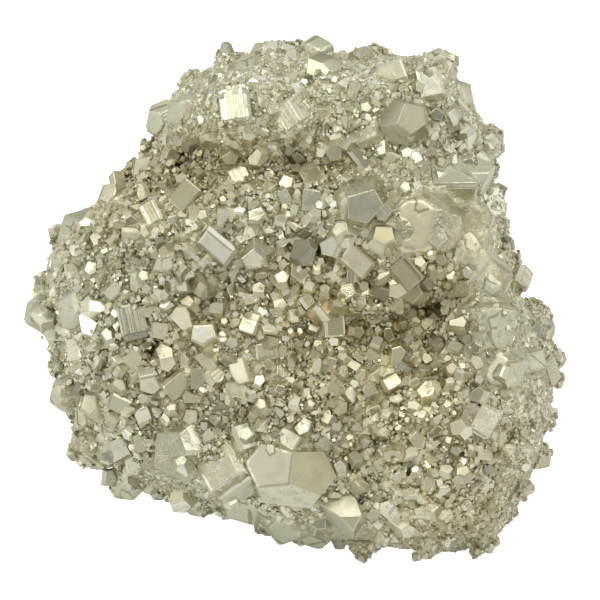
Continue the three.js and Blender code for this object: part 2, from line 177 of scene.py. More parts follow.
# The larger crystals: [a, b, radius, habit, leading facet's lean to the right and upwards, spin in degrees]
CRYSTALS = (
    (-1.8, -30, 6.9, "broad", 3, 6, 86), (-20.9, -25.2, 5.6, "pyritohedron", -28, -6, 64),
    (-13, -29.4, 6, "cube", -24, 18, 32), (7.4, -34.2, 4.3, "pyritohedron", -8, 22, 5),
    (-25, -13.2, 3, "pyritohedron", -6, -18, 10), (-20.9, -14, 2.9, "blocky", 22, -8, 40),
    (-27.8, -4.2, 3.5, "cube", -4, 16, 12), (-13.2, 9, 3.7, "cube", -20, -10, 52),
    (-7.3, 7.6, 3.4, "pyritohedron", -14, -22, 30), (-7, 13.6, 2.4, "pyritohedron", -10, 22, 14),
    (-3.2, 3.2, 1.9, "pyritohedron", 8, 22, 40), (-15.8, -5.6, 3.4, "pyritohedron", -6, 10, 0),
    (-8.2, -4.2, 2.4, "blocky", -6, 20, 70), (-3.6, -1.2, 2, "pyritohedron", 12, 18, 25),
    (-14, -12.8, 2.1, "pyritohedron", 16, 18, 50), (-5, -8.3, 2.5, "blocky", -12, 4, 8),
    (-9.6, -22.4, 2.9, "cube", 18, 20, 20), (-1.5, -22.6, 2.6, "cube", -26, 14, 60),
    (9.6, 16.6, 5.2, "pyritohedron", 4, 2, 18), (11, 23.4, 4.4, "cube", 10, 4, 38),
    (18.2, 28.4, 4.5, "pyritohedron", 14, 16, 74), (15.8, 38.2, 3.1, "blocky", -12, 12, 20),
    (22, 36.4, 3.4, "cube", 4, 14, 12), (0, 29.8, 4.6, "blocky", -18, 20, 33),
    (-10.8, 32.4, 4.2, "cube", -8, 24, 8), (-5, 32, 1.9, "cube", 20, 22, 20),
    (-20.2, 32.4, 4.8, "rounded", -34, -10, 15), (-22.6, 29.6, 3.4, "lump", -42, -4, 30),
    (-14.7, 22.8, 1.9, "pyritohedron", 4, -4, 0), (-10, 21.2, 2.6, "cube", -2, 24, 24),
    (-19, 17.8, 3.3, "blocky", -12, 8, 50), (-24.8, 14.4, 2.6, "cube", -16, 20, 28),
    (1.6, 22.8, 2.7, "cube", 30, -8, 4), (1.4, 16.8, 2.5, "blocky", 12, 6, 84),
    (7.4, 11, 2.7, "pyritohedron", -4, -32, 36), (13.4, 9.6, 2.9, "pyritohedron", 6, 20, 2),
    (9.8, 6.2, 3.4, "cube", -26, -16, 50), (18, 4, 3.2, "cube", -14, -12, 40),
    (26.8, 19.2, 5, "cube", 6, 34, 93), (22, 13.2, 9, "rounded", -4, 6, 4),
    (29.4, 11.6, 7.4, "rounded", 26, 0, 62), (31.4, 16.4, 4.4, "blocky", 38, 6, 10),
    (28.6, 5.4, 5.6, "rounded", 22, -16, 30), (5.8, -3.8, 2.9, "cube", 0, -10, 4),
    (6.8, -18.4, 2.3, "pyritohedron", -4, 12, 55), (4, -21, 1.8, "cube", -20, 24, 40),
    (27, -28.8, 2.1, "pyritohedron", 10, 20, 16), (30.8, -20, 3.5, "blocky", 10, 10, 60),
    (26.6, -21, 2.3, "pyritohedron", -18, 6, 12), (21, -15, 2.4, "pyritohedron", -8, 20, 44),
    (21, -35, 2.6, "pyritohedron", 14, 24, 80), (39, -10, 2.7, "blocky", 44, 8, 12),
    (41.6, -12, 2.8, "cube", 60, 10, 30), (-37.6, -8.6, 2.3, "cube", -30, 20, 10),
    (-30.8, -25.4, 3.4, "blocky", -26, -12, 28), (-27.6, -27.8, 2.8, "pyritohedron", -20, -20, 77),
    (-19.6, -33.2, 2.7, "pyritohedron", -10, -40, 20), (-34.6, -17.6, 3.2, "pyritohedron", -36, 2, 48),
    (-36.4, -20.4, 2, "cube", -30, 18, 8), (-29.8, -17.2, 2.3, "cube", -16, -10, 66),
    (-38, 12, 4, "lump", -44, 22, 36), (-31, 17.4, 2.8, "pyritohedron", -30, 26, 60),
    (-25.8, 22.6, 2.6, "blocky", -40, 14, 5), (10.4, 41, 2.4, "pyritohedron", 0, 44, 30),
    (24, 40.4, 3.2, "lump", 24, 38, 10), (31.6, 25.6, 3.4, "lump", 52, 6, 34),
    (36.6, 3.6, 2.4, "blocky", 54, 4, 56), (29.8, 21.6, 2.4, "cube", 34, -6, 20),
    (32.6, 4.4, 5.4, "lump", 30, 4, 10), (32.4, -4.6, 6, "lump", 26, -4, 50),
    (34.6, -11.4, 4.6, "lump", 34, -8, 20), (-40, 6.6, 3.2, "lump", -46, 6, 12),
    (-38.4, -2, 3.6, "lump", -40, 2, 66), (-38.6, -15.4, 3.2, "lump", -44, -6, 30),
    (-35, -24.4, 3.6, "lump", -44, -20, 8), (-28.8, -30, 3.6, "lump", -30, -36, 44),
    (-9.4, -35.2, 4.6, "lump", -14, -40, 26), (-4, -38, 4.6, "lump", -6, -44, 70),
    (3.4, -39.8, 3.4, "lump", 4, -44, 15), (27.4, 34.4, 3.2, "lump", 42, 24, 50),
    (-15.4, 36.8, 3.4, "lump", -30, 30, 20), (-9.4, 39.4, 3.4, "lump", -16, 40, 50),
    (2.8, 41.4, 3.2, "lump", 4, 44, 5),
)

# Medium crystals that stand out in the face, by how they face the light: [a, b, radius]
BRIGHT = (
    (10.2, -18.5, 1.3), (6.5, -40, 1.7), (-11.2, -33.1, 1.6), (-20.9, -17.2, 2), (-6.4, -17.2, 2.2),
    (-9.4, -18.4, 1.1), (-34.5, 5, 1.7), (-25.6, 4, 1.3), (-19.5, 6.1, 1.1), (-19.3, 2.5, 1.9),
    (-22.1, -0.5, 1.7), (-19.4, 13.9, 1), (-16, 14, 1.5), (-30.4, 16.5, 1.2), (-26.1, 7.6, 1),
    (-12.6, 16.5, 1.1), (-12.5, -3.6, 1), (-3, 9.2, 1.8), (-2.4, 17, 1.6), (7.9, 9.9, 1.2),
    (-1.6, -5.3, 0.9), (0.1, -5.4, 1.2), (-6.7, -13.4, 1.4), (-1.7, -13.2, 1.4), (14.2, -18.8, 1.4),
    (1.7, -17, 1.3), (7.8, -6, 1.2), (16.7, -3, 1.5), (25.9, -3.9, 1.9), (20.3, -11.2, 1.4),
    (26.8, -11, 1), (29.4, -13.2, 1.4), (22.1, -17.3, 1.3), (20.9, -18, 1), (16.7, -18.9, 1.1),
    (25.2, -18.6, 0.9), (36, -4.1, 1), (31.3, -8.8, 0.9), (23.6, -30.8, 1.4), (18.8, -28, 1.5),
    (14.5, -27.7, 1), (28.1, -35.7, 1), (28.1, -37.2, 1.1), (27.5, -33.8, 1.2), (17.6, -19.9, 1),
    (16.1, -20.9, 0.9), (-38.3, -13.7, 0.9), (-29.8, -14, 2.1), (-29.3, -11.2, 1.7), (-36.2, -5.9, 1.1),
    (-30.7, -7.5, 1), (-40.6, 4, 1), (27, 28, 1.8), (29.8, 23.3, 1.8), (19.6, 32.3, 1.2),
    (33.1, 7.2, 1.3), (31.2, 18, 0.9), (38.4, -3.2, 0.9), (33.7, -2.2, 0.9), (29.2, 0, 0.8),
    (38.5, -12.1, 1.2), (-1.4, 40.2, 2.8), (-21.5, 22.7, 1.3), (0.8, 35.9, 0.8), (-5.7, 27.9, 1),
    (-16.5, 24, 0.9), (7.3, -34.2, 4.3), (-19.4, -26.4, 2.4), (-8.9, -22.2, 2.2), (-4.9, -24.6, 1.3),
    (21.4, 7.7, 1.2), (21.6, 5.2, 1.6), (17.4, 18.2, 1.4), (31.6, 22.8, 1.1),
)
LIGHT = (
    (-10.2, 14.5, 1.7), (-20.1, 8.5, 1.3), (-13.6, -1.5, 2.1), (0.25, -21, 2.1), (3.7, 11.2, 1),
    (-6.6, 1.9, 1.9), (1.4, -0.2, 1.6), (2.3, -4.5, 1.6), (1.7, 2.1, 1.4), (4.1, 1.75, 1.6),
    (7.8, 1.6, 2), (15.6, -16.4, 1.8), (-0.7, -16.7, 1.8), (3.6, -15, 1.2), (7.1, -11.9, 1.4),
    (5.6, -6.8, 1.3), (14.6, -12, 1.7), (11.8, -15, 1.9), (12.7, -7, 1.6), (25.6, -7.8, 1.6),
    (25, -11.1, 1.6), (24.5, -13.4, 1.8), (33.8, -12.4, 1.9), (24, -27.8, 1.7), (20.6, -32.2, 1.4),
    (14.7, -34.2, 2.1), (15.8, -30.7, 1.7), (14.2, -29.4, 1.3), (16.6, -36.9, 2.4), (30.2, -38.1, 1.1),
    (13.5, -21.5, 1.2), (11.1, -25.1, 1.6), (9.9, -30, 2.2), (-31.7, -5.8, 1.8), (-30, -9.8, 1.4),
    (-39.6, 5.3, 1.1), (-30.7, -19.5, 1.5), (14.6, 32.4, 1.6), (16.9, 34.6, 1.2), (10.9, 31.6, 1.8),
    (9.1, 34.7, 1.6), (36, 1.8, 1.2), (25.8, 7.7, 1.2), (19.6, 6.4, 1.6), (25.4, 23, 1.2),
    (23.2, 22.6, 1.4), (26.6, 25, 1.2), (24.6, 4.2, 1.4), (5.6, 39.4, 1.6), (1.4, 26.5, 1.6),
    (5.8, 26.9, 1.6), (-14.5, 26.3, 1.8), (-8.4, 26.9, 2),
)
GREY = (
    (-21.7, 6, 1.4), (-33.8, -1, 2), (-31, 1.5, 2.6), (-23.5, 16.6, 1.8), (-3.4, 13.1, 1.9),
    (0, 4.5, 2.6), (6.2, -0.8, 2.4), (-1, -2.4, 2.2), (-5.2, -10.8, 1.6), (-3.1, -14.5, 1.6),
    (2.3, -9.2, 1.2), (-1.1, -9.7, 2), (9.4, -9.2, 1.7), (14.6, -5.7, 1.9), (22.2, -3.1, 1.7),
    (29, -7.9, 1.4), (29.2, -15.4, 1.9), (25.5, -24.6, 2), (18.5, -31.7, 1.9), (23.7, -34.9, 1.8),
    (19.2, -23, 2.2), (22, -21.8, 1.8), (15.4, -25.3, 2), (9.3, -25.8, 2), (6.6, -27.6, 2.3),
    (3.3, -36.7, 2.6), (-18.2, -19, 2), (-33.3, -13.5, 2), (-32.3, -9.1, 1.5), (-34.5, -9.5, 1.5),
    (-31.6, -26, 1.9), (-25.6, -19.1, 2.2), (25.9, 32.3, 1.7), (22.4, 30.7, 1.8), (23, 6.8, 1.2),
    (22.6, 10.2, 2.3), (27.8, 22.8, 1.4), (21.2, 24.2, 1.5), (27.4, 4.6, 1.5), (13.6, 14.2, 2.2),
    (36.7, -0.3, 1.6), (40.1, -4.8, 2.2), (43.5, -11.6, 2), (-5, 41.2, 1.7),
)
DARK = (
    (-11.4, 11.2, 1.2), (-22.8, 9, 1.4), (0.8, 10.8, 1.3), (1.2, 7.2, 2.6), (12.9, 1, 2.6),
    (4.7, 5.4, 1.2), (18, -6.1, 2), (27.3, -6.6, 1.6), (22.8, -7.4, 1.6), (17.4, -11.4, 1.8),
    (31.1, -27.8, 1.4), (-36.3, -15.2, 1.7), (35.1, 9, 1.6), (-0.3, 23.4, 2.2), (21, 2.6, 1.8),
    (-17.6, 25.2, 1.6), (-1.8, 24.6, 1.6),
)

# How each kind's facet leans to the right and upwards in degrees, both as a range, and its painted
# brightness: the dark ones are painted in shade
MARKS = (
    (BRIGHT, (-12, 10), (18, 26), 0.9),
    (LIGHT, (-14, 14), (13, 17), 1.0),
    (GREY, (-8, 8), (-6, 8), 0.95),
    (DARK, (12, 30), (-30, -15), 0.5),
)

# Finish of single larger crystals: [a, b, brightness, frosting, growth lines], modelled with ribs where 1.
# The brightness is painted light and shade, for how brightly each crystal catches the light
FINISHES = (
    (-27.8, -4.2, 0.5, 0.1, 1), (-13.2, 9, 0.85, 0.1, 0.3), (-10.8, 32.4, 0.9, 0.15, 1),
    (0, 29.8, 0.92, 0.2, 1), (9.6, 16.6, 0.88, 1, 0.2), (11, 23.4, 0.86, 0.1, 0.3),
    (-24.8, 14.4, 0.92, 0.1, 1), (-19, 17.8, 0.92, 0.2, 0.1), (18.2, 28.4, 0.9, 0.5, 0.1),
    (18, 4, 0.8, 0.6, 0.3), (9.8, 6.2, 0.85, 0.1, 0.2), (-1.8, -30, 1.03, 0.95, 0.3),
    (-20.9, -25.2, 0.94, 0.7, 0.3), (-13, -29.4, 0.96, 0.7, 0.1), (7.4, 11, 0.95, 0.5, 0.4),
)
RIBBED = {(a, b): lines == 1 for a, b, _, _, lines in FINISHES}

# Stretches of the face that differ from the rest: [a, b, half-width across, half-width up, strength]
COARSE = (
    (-10, 8, 14, 12, 1), (-20, -16, 16, 9, 1), (-12, -28, 16, 8, 1), (10, -20, 12, 6, 0.5),
    (-4, -8, 10, 7, 0.8), (14, 5, 7, 7, 0.9), (24, 31, 9, 6, 0.7),
)
GRANULAR = (
    (10, 38, 16, 4, 0.8), (-11, 34, 9, 7, 1), (37.5, -3, 4, 14, 0.8), (40, -20, 4, 12, 0.7),
    (12, 20, 5, 1.6, 1), (-14, 27, 8, 4, 0.5), (28, 25, 7, 4, 0.5), (-24, -31, 4, 2, 0.8),
    (-17, -34.5, 5, 2, 0.8), (37.5, -30, 4, 7, 0.9), (31, -39, 6, 4, 0.9), (21, -41, 6, 2.4, 0.7),
    (-39, 8, 4, 8, 0.7), (-36, -22, 4, 6, 0.6), (30, 36, 4, 5, 0.7), (-4, 37, 12, 4, 0.6),
    (34.5, 17, 2.6, 6, 0.85),
)
SMOOTH = (
    (23, 14.5, 7, 5.5, 1), (33, 14, 4, 9, 0.9), (32.5, -2, 3.6, 9, 0.95), (-42, 2, 4, 14, 0.7),
    (-22, 34, 4, 6, 0.8), (-5, -38.5, 12, 3, 1), (13, -39.5, 6, 2.2, 0.8), (-36, 15, 5, 4, 0.6),
    (-12, 40, 12, 2, 0.8),
)
# Hollows: fewer crystals grow there, and those that do are darkened with painted shade
HOLLOW = (
    (-8, 22.6, 13, 1.2, 0.85), (-3, -19.6, 11, 1, 0.7), (9, -28, 1.4, 8, 0.5), (14, -5, 4, 1.4, 0.8),
    (-17.5, 23.5, 3, 3.4, 0.9), (25, 1.6, 4, 1.6, 0.8), (-24, -9, 2, 1.2, 0.9), (20, -2, 3, 1.6, 1),
    (-15.6, 0.4, 1.6, 2.4, 1), (-27, 20, 5, 1.2, 0.7),
)
# Brown tint: partly real brown tarnish, partly painted shade in the hollows below the bulge and under the top
# lobe
BROWN_AND_SHADE = (
    (12, -7, 12, 8, 0.5), (25, -28, 13, 11, 0.4), (16, -18, 10, 8, 0.2), (2, 0, 6, 8, 0.5),
    (-20, -8, 8, 8, 0.35), (-10, 23, 12, 3, 0.5), (24, 4, 8, 5, 0.8), (-16, 24, 5, 5, 0.5),
    (-34, 14, 6, 4, 0.6), (25, -36, 5, 4, 0.5),
)
# Pale tint: a painted reflection of the pale surroundings and floor, on the flanks, the rims and the foot
PALE_REFLECTION = (
    (36, 6, 7, 16, 1), (40, -12, 5, 14, 0.6), (-41, 4, 6, 14, 0.6), (-20, 36, 7, 6, 0.7),
    (8, 40, 20, 5, 0.6), (-10, -32, 12, 6, 0.6), (30, 18, 6, 7, 0.5), (15, -34, 7, 7, 0.9),
    (14, -22, 6, 5, 0.6),
)
COVERED = (
    (27, 23.4, 9, 2.4, 1), (-11.5, 35.8, 4, 1.4, 1), (-15, 31, 1.4, 3, 1), (-3, 33, 3, 1.6, 1),
    (3.4, 28, 1.6, 2, 0.9), (22, 40, 5, 1.6, 0.8), (34, 17.5, 2.6, 3.6, 1), (-36, -24, 2.6, 3, 1),
    (-31, -29.5, 3, 2, 1),
)
# Stretches whose crystals are brightened with painted light
LIT_STRETCHES = (
    (6, 24, 6, 4, 1), (-18, 15, 9, 4, 1), (15, -35, 6, 5, 1.2), (15, -6, 6, 4, 0.8), (-4, -15, 6, 4, 0.9),
    (15, -15, 5, 4, 0.9), (-8, 25, 5, 3, 0.6), (0, 36, 22, 6, 0.8), (14, -24, 6, 6, 0.9),
    (-2, -35, 10, 5, 0.6),
)
WARM = ((22.5, 13.5, 6, 6, 1), (15, 6, 4, 3, 0.4))

# How common the small forms are among the medium and small crystals
MIXED_KINDS = (5, 5, 5, 5, 5, 4, 4, 4, 4, 3, 3, 3)


def length(name, description, default):
    return FloatProperty(
        name=name, description=description, default=default, unit="LENGTH", subtype="DISTANCE",
    )


def radius_range(name, smallest, largest):
    return FloatVectorProperty(
        name=name, description="Smallest and largest radius", default=(smallest, largest), size=2,
        unit="LENGTH",
    )


def colour(name, description, default):
    return FloatVectorProperty(name=name, description=description, size=3, subtype="COLOR", default=default)


class PyriteSizes(bpy.types.PropertyGroup):
    """Sizes of the cluster's grains and crystals"""

    massive_grain: length("Massive grain", "Width of the faces of the massive body", 0.0006)
    crystal_gap: length("Gap depth", "How deep the massive body lies between the crystals", 0.0004)
    bulge_grain: length("Bulge grain", "Width of the faces of the smooth bulge", 0.0004)
    medium_radius: radius_range("Medium crystals", 0.0016, 0.0037)
    small_radius: radius_range("Small crystals", 0.0009, 0.0017)
    fine_radius: radius_range("Fine crystals", 0.00045, 0.0009)
    sugar_radius: radius_range("Sugar grains", 0.00028, 0.00062)
    crust_radius: radius_range("Crust grains", 0.0002, 0.00042)
    grain_radius: radius_range("Back grains", 0.0008, 0.0027)
    seed: IntProperty(name="Seed", description="Start of the random places and turns", default=11)


class PyriteColours(bpy.types.PropertyGroup):
    """Colours of the cluster's surfaces"""

    fresh: colour("Fresh pyrite", "Reflected colour of a clean facet", (0.77, 0.757, 0.63))
    # Brown tint: real brown tarnish, and also painted shade in the hollows
    brown_and_shade: colour("Brown tint", "Tint of the tarnished hollows", (0.9, 0.83, 0.7))
    # Pale tint: a painted reflection of the pale surroundings on the flanks
    pale_reflection: colour("Pale tint", "Tint of the pale grey flanks", (1.02, 1.035, 1.06))
    # Colour of the dark pits, seams, growth lines and tarnish film, and also of the painted shade low between
    # the crystals and on the massive body between them
    dark_marks_and_shade: colour("Dark marks and shade", "Colour deep between the crystals", (0.36, 0.33, 0.21))
    floor: colour("Floor", "Colour of the pale floor", (0.8, 0.8, 0.79))


# The crystal face

def number_stream(seed):
    """A repeatable stream of numbers from 0 to 1."""
    state = seed
    while True:
        state = (state * 1664525 + 1013904223) % 2**32
        yield state / 2**32


def to_part(face_point):
    return FACE_MIDDLE + np.asarray(face_point) @ FACE_AXES


def to_face(points):
    return (points - FACE_MIDDLE) @ FACE_AXES.T


OUTLINE_POLAR = sorted((math.atan2(b, a), math.hypot(a, b) - CRUST_ALLOWANCE) for a, b in OUTLINE)


def outline_radius(angle):
    """The outline's radius in a direction in the face's plane, eased from corner to corner."""
    after = next((i for i, (corner, _) in enumerate(OUTLINE_POLAR) if corner > angle), 0)
    next_angle, next_radius = OUTLINE_POLAR[after]
    last_angle, last_radius = OUTLINE_POLAR[after - 1]
    along = ((angle - last_angle) % math.tau) / ((next_angle - last_angle) % math.tau)
    ease = (1 - math.cos(math.pi * along)) / 2
    return last_radius + (next_radius - last_radius) * ease


def swelling(a, b):
    return sum(
        height * math.exp(-(((a - place_a) / wide) ** 2 + ((b - place_b) / high) ** 2) / 2)
        for place_a, place_b, wide, high, height in SWELLINGS
    )


def face_height(a, b):
    share = min(RIM_SHARE, math.hypot(a, b) / outline_radius(math.atan2(b, a)))
    height = FRONT_DEPTH * (1 - share**FRONT_FULLNESS) ** (1 / FRONT_FULLNESS)
    return height + swelling(a, b) * min(1, 2 * height / FRONT_DEPTH)


def face_place(a, b):
    """The massive body's point and outward direction at a place on the crystal face, in its axes."""
    slope_a = (face_height(a + SLOPE_STEP, b) - face_height(a - SLOPE_STEP, b)) / (2 * SLOPE_STEP)
    slope_b = (face_height(a, b + SLOPE_STEP) - face_height(a, b - SLOPE_STEP)) / (2 * SLOPE_STEP)
    return Vector((a, b, face_height(a, b))), Vector((-slope_a, -slope_b, 1)).normalized()


def patch_share(patches, points):
    """How far each point, given in the face's axes, belongs to a list of patches, from 0 to 1."""
    share = np.zeros(len(points))
    for a, b, wide, high, strength in patches:
        away = ((points[:, 0] - a) / wide) ** 2 + ((points[:, 1] - b) / high) ** 2
        share += strength * np.exp(-away / 2)
    return np.clip(share, 0, 1)


def front_share(points):
    """1 on the crystal face and its flanks, 0 on the broken back, for points in the face's axes."""
    a, b, c = points.T
    edge = BACK_EDGE + 2.5 * np.sin(a * 0.31 + 1) + 2 * np.sin(b * 0.37 - a * 0.11)
    return np.clip((c - edge) / BACK_BLEND, 0, 1)


def away_from_pits(points):
    clear = np.ones(len(points), bool)
    for a, b, radius in PITS:
        angle = np.arctan2(points[:, 1] - b, points[:, 0] - a)
        clear &= np.hypot(points[:, 0] - a, points[:, 1] - b) > radius * (0.7 + 0.3 * np.sin(3 * angle + a))
    return clear


# Crystal habits, with facets as [direction, distance from the crystal's middle for a radius of 1]

def square_facets(distance):
    directions = ((1, 0, 0), (-1, 0, 0), (0, 1, 0), (0, -1, 0), (0, 0, 1), (0, 0, -1))
    return [(direction, distance) for direction in directions]


def pentagonal_facets(distance):
    signs = ((1, 1), (1, -1), (-1, 1), (-1, -1))
    turned = (lambda s, t: (0, 2 * s, t), lambda s, t: (t, 0, 2 * s), lambda s, t: (2 * s, t, 0))
    return [(facet(s, t), distance) for facet in turned for s, t in signs]


def corner_facets(distance):
    return [((x, y, z), distance) for x in (1, -1) for y in (1, -1) for z in (1, -1)]


# Habits of the larger crystals: facets, proportions and the direction of the leading facet
HABITS = {
    "pyritohedron": (pentagonal_facets(0.8), (1, 1, 1), (0, 2, 1)),
    "broad": (pentagonal_facets(0.8), (0.95, 0.9, 1.25), (0, 1, 0)),
    "cube": (square_facets(0.68), (0.9, 1.25, 1), (0, 0, 1)),
    "blocky": (square_facets(0.7) + pentagonal_facets(0.79)[:4], (1.1, 0.95, 1), (0, 0, 1)),
    "rounded": (
        square_facets(0.8) + pentagonal_facets(0.82) + corner_facets(0.86), (1.08, 0.82, 0.8), (0, 0, 1)
    ),
    "lump": (square_facets(0.84) + corner_facets(0.86), (1.1, 1, 1), (0, 0, 1)),
}
SMOOTH_HABITS = ("rounded", "lump")

# Narrower facets on the edges of the larger crystals, inside the form that the solid has
EDGE_FACETS = {
    "pyritohedron": square_facets(0.88),
    "broad": square_facets(0.88),
    "cube": pentagonal_facets(0.82),
    "blocky": pentagonal_facets(0.84)[4:] + corner_facets(1.04),
    "rounded": [],
    "lump": [],
}

# Habits of the smaller crystals that fill the face: facets, how often each is modelled with uneven facets,
# and the direction of the facet that shows
SMALL_HABITS = (
    (pentagonal_facets(0.8), 5, (0, 2, 1)),
    (pentagonal_facets(0.8) + square_facets(0.84), 3, (0, 2, 1)),
    (square_facets(0.7) + pentagonal_facets(0.8), 2, (0, 0, 1)),
    (square_facets(0.68) + corner_facets(0.98), 1, (0, 0, 1)),
    (square_facets(0.66), 1, (0, 0, 1)),
)
CUT_CUBE_FORM = 10  # the cube with cut corners, among the small forms
PYRITOHEDRAL_FORMS = 8  # the first ones are pyritohedra

# Habits of the tiniest grains, with few facets
GRAIN_HABITS = (
    (square_facets(0.72), 5, (0, 0, 1)),
    (square_facets(0.74) + corner_facets(0.8)[:1], 4, (0, 0, 1)),
    (square_facets(0.74) + corner_facets(0.8)[:2], 2, (1, 1, 1)),
)


# Modelling helpers

def deselect_all():
    if bpy.context.object and bpy.context.object.mode != "OBJECT":
        bpy.ops.object.mode_set(mode="OBJECT")
    bpy.ops.object.select_all(action="DESELECT")


def apply_modifier(piece, name, kind, **settings):
    modifier = piece.modifiers.new(name, kind)
    for key, value in settings.items():
        setattr(modifier, key, value)
    bpy.ops.object.modifier_apply(modifier=modifier.name)


def displace(piece, name, pattern, size, strength, middle=0.5, group=""):
    """Raises and sinks the active piece by a pattern, within a vertex group if one is named."""
    texture = bpy.data.textures.new(name, pattern)
    texture.noise_scale = size
    apply_modifier(
        piece, name, "DISPLACE", texture=texture, texture_coords="LOCAL", vertex_group=group,
        strength=strength, mid_level=middle,
    )


def flatten_foot(piece):
    """Brings what reaches below the floor back up to it."""
    bpy.ops.object.mode_set(mode="EDIT")
    bpy.ops.mesh.select_all(action="DESELECT")
    bpy.ops.object.mode_set(mode="OBJECT")
    for corner in piece.data.vertices:
        corner.select = corner.co.z < 0
    bpy.ops.object.mode_set(mode="EDIT")
    bpy.ops.transform.resize(value=(1, 1, 0), center_override=(0, 0, 0))
    bpy.ops.object.mode_set(mode="OBJECT")


def finish_piece(piece, material):
    piece.data.materials.clear()
    piece.data.materials.append(material)
    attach(piece, BODY)


def unit_rows(rows):
    return rows / np.linalg.norm(rows, axis=1)[:, None]


def read(items, name, width=1, kind=np.float32):
    """A property of all corners, loops or faces of a mesh, as rows where it holds several numbers."""
    numbers = np.empty(len(items) * width, kind)
    items.foreach_get(name, numbers)
    return numbers.reshape(-1, width) if width > 1 else numbers


def read_corners(mesh):
    return read(mesh.vertices, "co", 3).astype(float)


def write_values(mesh, name, values):
    """Keeps a number for each corner of the mesh, which its material reads."""
    attribute = mesh.attributes.new(name, "FLOAT", "POINT")
    attribute.data.foreach_set("value", values.astype(np.float32))


def write_colours(mesh, name, colours):
    """Keeps three numbers for each face of the mesh, which its material reads."""
    attribute = mesh.attributes.new(name, "FLOAT_COLOR", "FACE")
    rows = np.concatenate((colours, np.ones((len(colours), 1))), 1)
    attribute.data.foreach_set("color", rows.astype(np.float32).ravel())


# One crystal, modelled with a radius of 1 about the origin

def cut_crystal(planes):
    """A crystal cut out of a cube at its facets' planes, left in edit mode."""
    deselect_all()
    reach = 2 * max(distance for _, distance in planes)
    bpy.ops.mesh.primitive_cube_add(size=2 * reach)
    bpy.ops.object.mode_set(mode="EDIT")
    for normal, distance in planes:
        bpy.ops.mesh.select_all(action="SELECT")
        bpy.ops.mesh.bisect(
            plane_co=normal * distance, plane_no=normal, use_fill=True, clear_outer=True, threshold=1e-5
        )
    bpy.ops.mesh.select_all(action="SELECT")
    bpy.ops.mesh.remove_doubles(threshold=1e-3)
    return bpy.context.object


def round_edges(width):
    """Takes the sharpness off all edges of the crystal in edit mode."""
    bpy.ops.mesh.select_all(action="SELECT")
    bpy.ops.mesh.bevel(offset=width, segments=1, affect="EDGES")


def select_facet(crystal, direction):
    """Selects the facet of the crystal in edit mode that looks most in a direction."""
    bpy.ops.mesh.select_all(action="DESELECT")
    bpy.ops.object.mode_set(mode="OBJECT")
    large = [facet for facet in crystal.data.polygons if facet.area > LEAST_FACET_AREA]
    best = max(large, key=lambda facet: facet.normal.dot(direction), default=None)
    if best is not None:
        best.select = True
    bpy.ops.object.mode_set(mode="EDIT")
    return best is not None


def select_strips(crystal, normal, height, chosen):
    """Selects those faces in a facet's plane that are chosen."""
    bpy.ops.mesh.select_all(action="DESELECT")
    bpy.ops.object.mode_set(mode="OBJECT")
    for face in crystal.data.polygons:
        if face.normal.dot(normal) > 0.999 and abs(face.center.dot(normal) - height) < 1e-3:
            face.select = chosen(face)
    bpy.ops.object.mode_set(mode="EDIT")


def cut_growth_lines(crystal, direction, widths, height):
    """Parallel ribs on one facet, along the cube's edges: it is cut into strips, and some are raised."""
    if not select_facet(crystal, direction):
        return
    bpy.ops.object.mode_set(mode="OBJECT")
    facet = next(face for face in crystal.data.polygons if face.select)
    normal, level = facet.normal.copy(), facet.center.dot(facet.normal)
    main = max(range(3), key=lambda axis: abs(normal[axis]))
    lines = Vector([float(axis == (main + 2) % 3) for axis in range(3)])
    across = normal.cross(lines).normalized()
    reaches = [crystal.data.vertices[i].co.dot(across) for i in facet.vertices]
    bpy.ops.object.mode_set(mode="EDIT")
    cuts = [min(reaches)]
    for width in widths:
        cuts.append(cuts[-1] + width)
        if cuts[-1] > max(reaches) - 0.03:
            break
        select_strips(crystal, normal, level, lambda face: True)
        bpy.ops.mesh.bisect(plane_co=across * cuts[-1], plane_no=across)

    def every_other(face):
        place = face.center.dot(across)
        return sum(cut < place for cut in cuts) % 2 == 0

    select_strips(crystal, normal, level, every_other)
    bpy.ops.mesh.inset(thickness=0.35 * height, depth=height, use_individual=True)


class Form:
    """A modelled crystal of radius 1, as arrays: its corners, facets and the frame of their growth lines."""

    def __init__(self, crystal, leading=(0, 0, 1)):
        bpy.ops.object.mode_set(mode="OBJECT")
        self.leading = np.array(leading) / np.linalg.norm(leading)
        mesh = crystal.data
        self.corners = read_corners(mesh)
        self.loops = read(mesh.loops, "vertex_index", kind=np.int32)
        self.starts = read(mesh.polygons, "loop_start", kind=np.int32)
        self.sizes = np.diff(np.append(self.starts, len(self.loops)))
        self.places = self.facet_places(read(mesh.polygons, "normal", 3))
        bpy.data.objects.remove(crystal)
        bpy.data.meshes.remove(mesh)

    def facet_places(self, normals):
        """Each loop's place across and along the growth lines, which follow the cube's edges."""
        main = np.abs(normals).argmax(1)
        across = unit_rows(np.cross(normals, np.eye(3)[(main + 2) % 3]))
        along = np.cross(across, normals)
        facet = np.repeat(np.arange(len(self.sizes)), self.sizes)
        at = self.corners[self.loops]
        return np.stack(((at * across[facet]).sum(1), (at * along[facet]).sum(1)), 1)


def small_forms(edge_width, habits=SMALL_HABITS):
    """The smaller crystals' forms, a few of each habit."""
    numbers = number_stream(404)
    forms = []
    for facets, count, leading in habits:
        for _ in range(count):
            planes = []
            for direction, ideal in facets:
                share = 1 + UNEVENNESS * (2 * next(numbers) - 1)
                planes.append((Vector(direction).normalized(), ideal * share))
            crystal = cut_crystal(planes)
            if edge_width:
                round_edges(edge_width)
            forms.append(Form(crystal, leading))
    return forms


# Many crystals, joined in one mesh

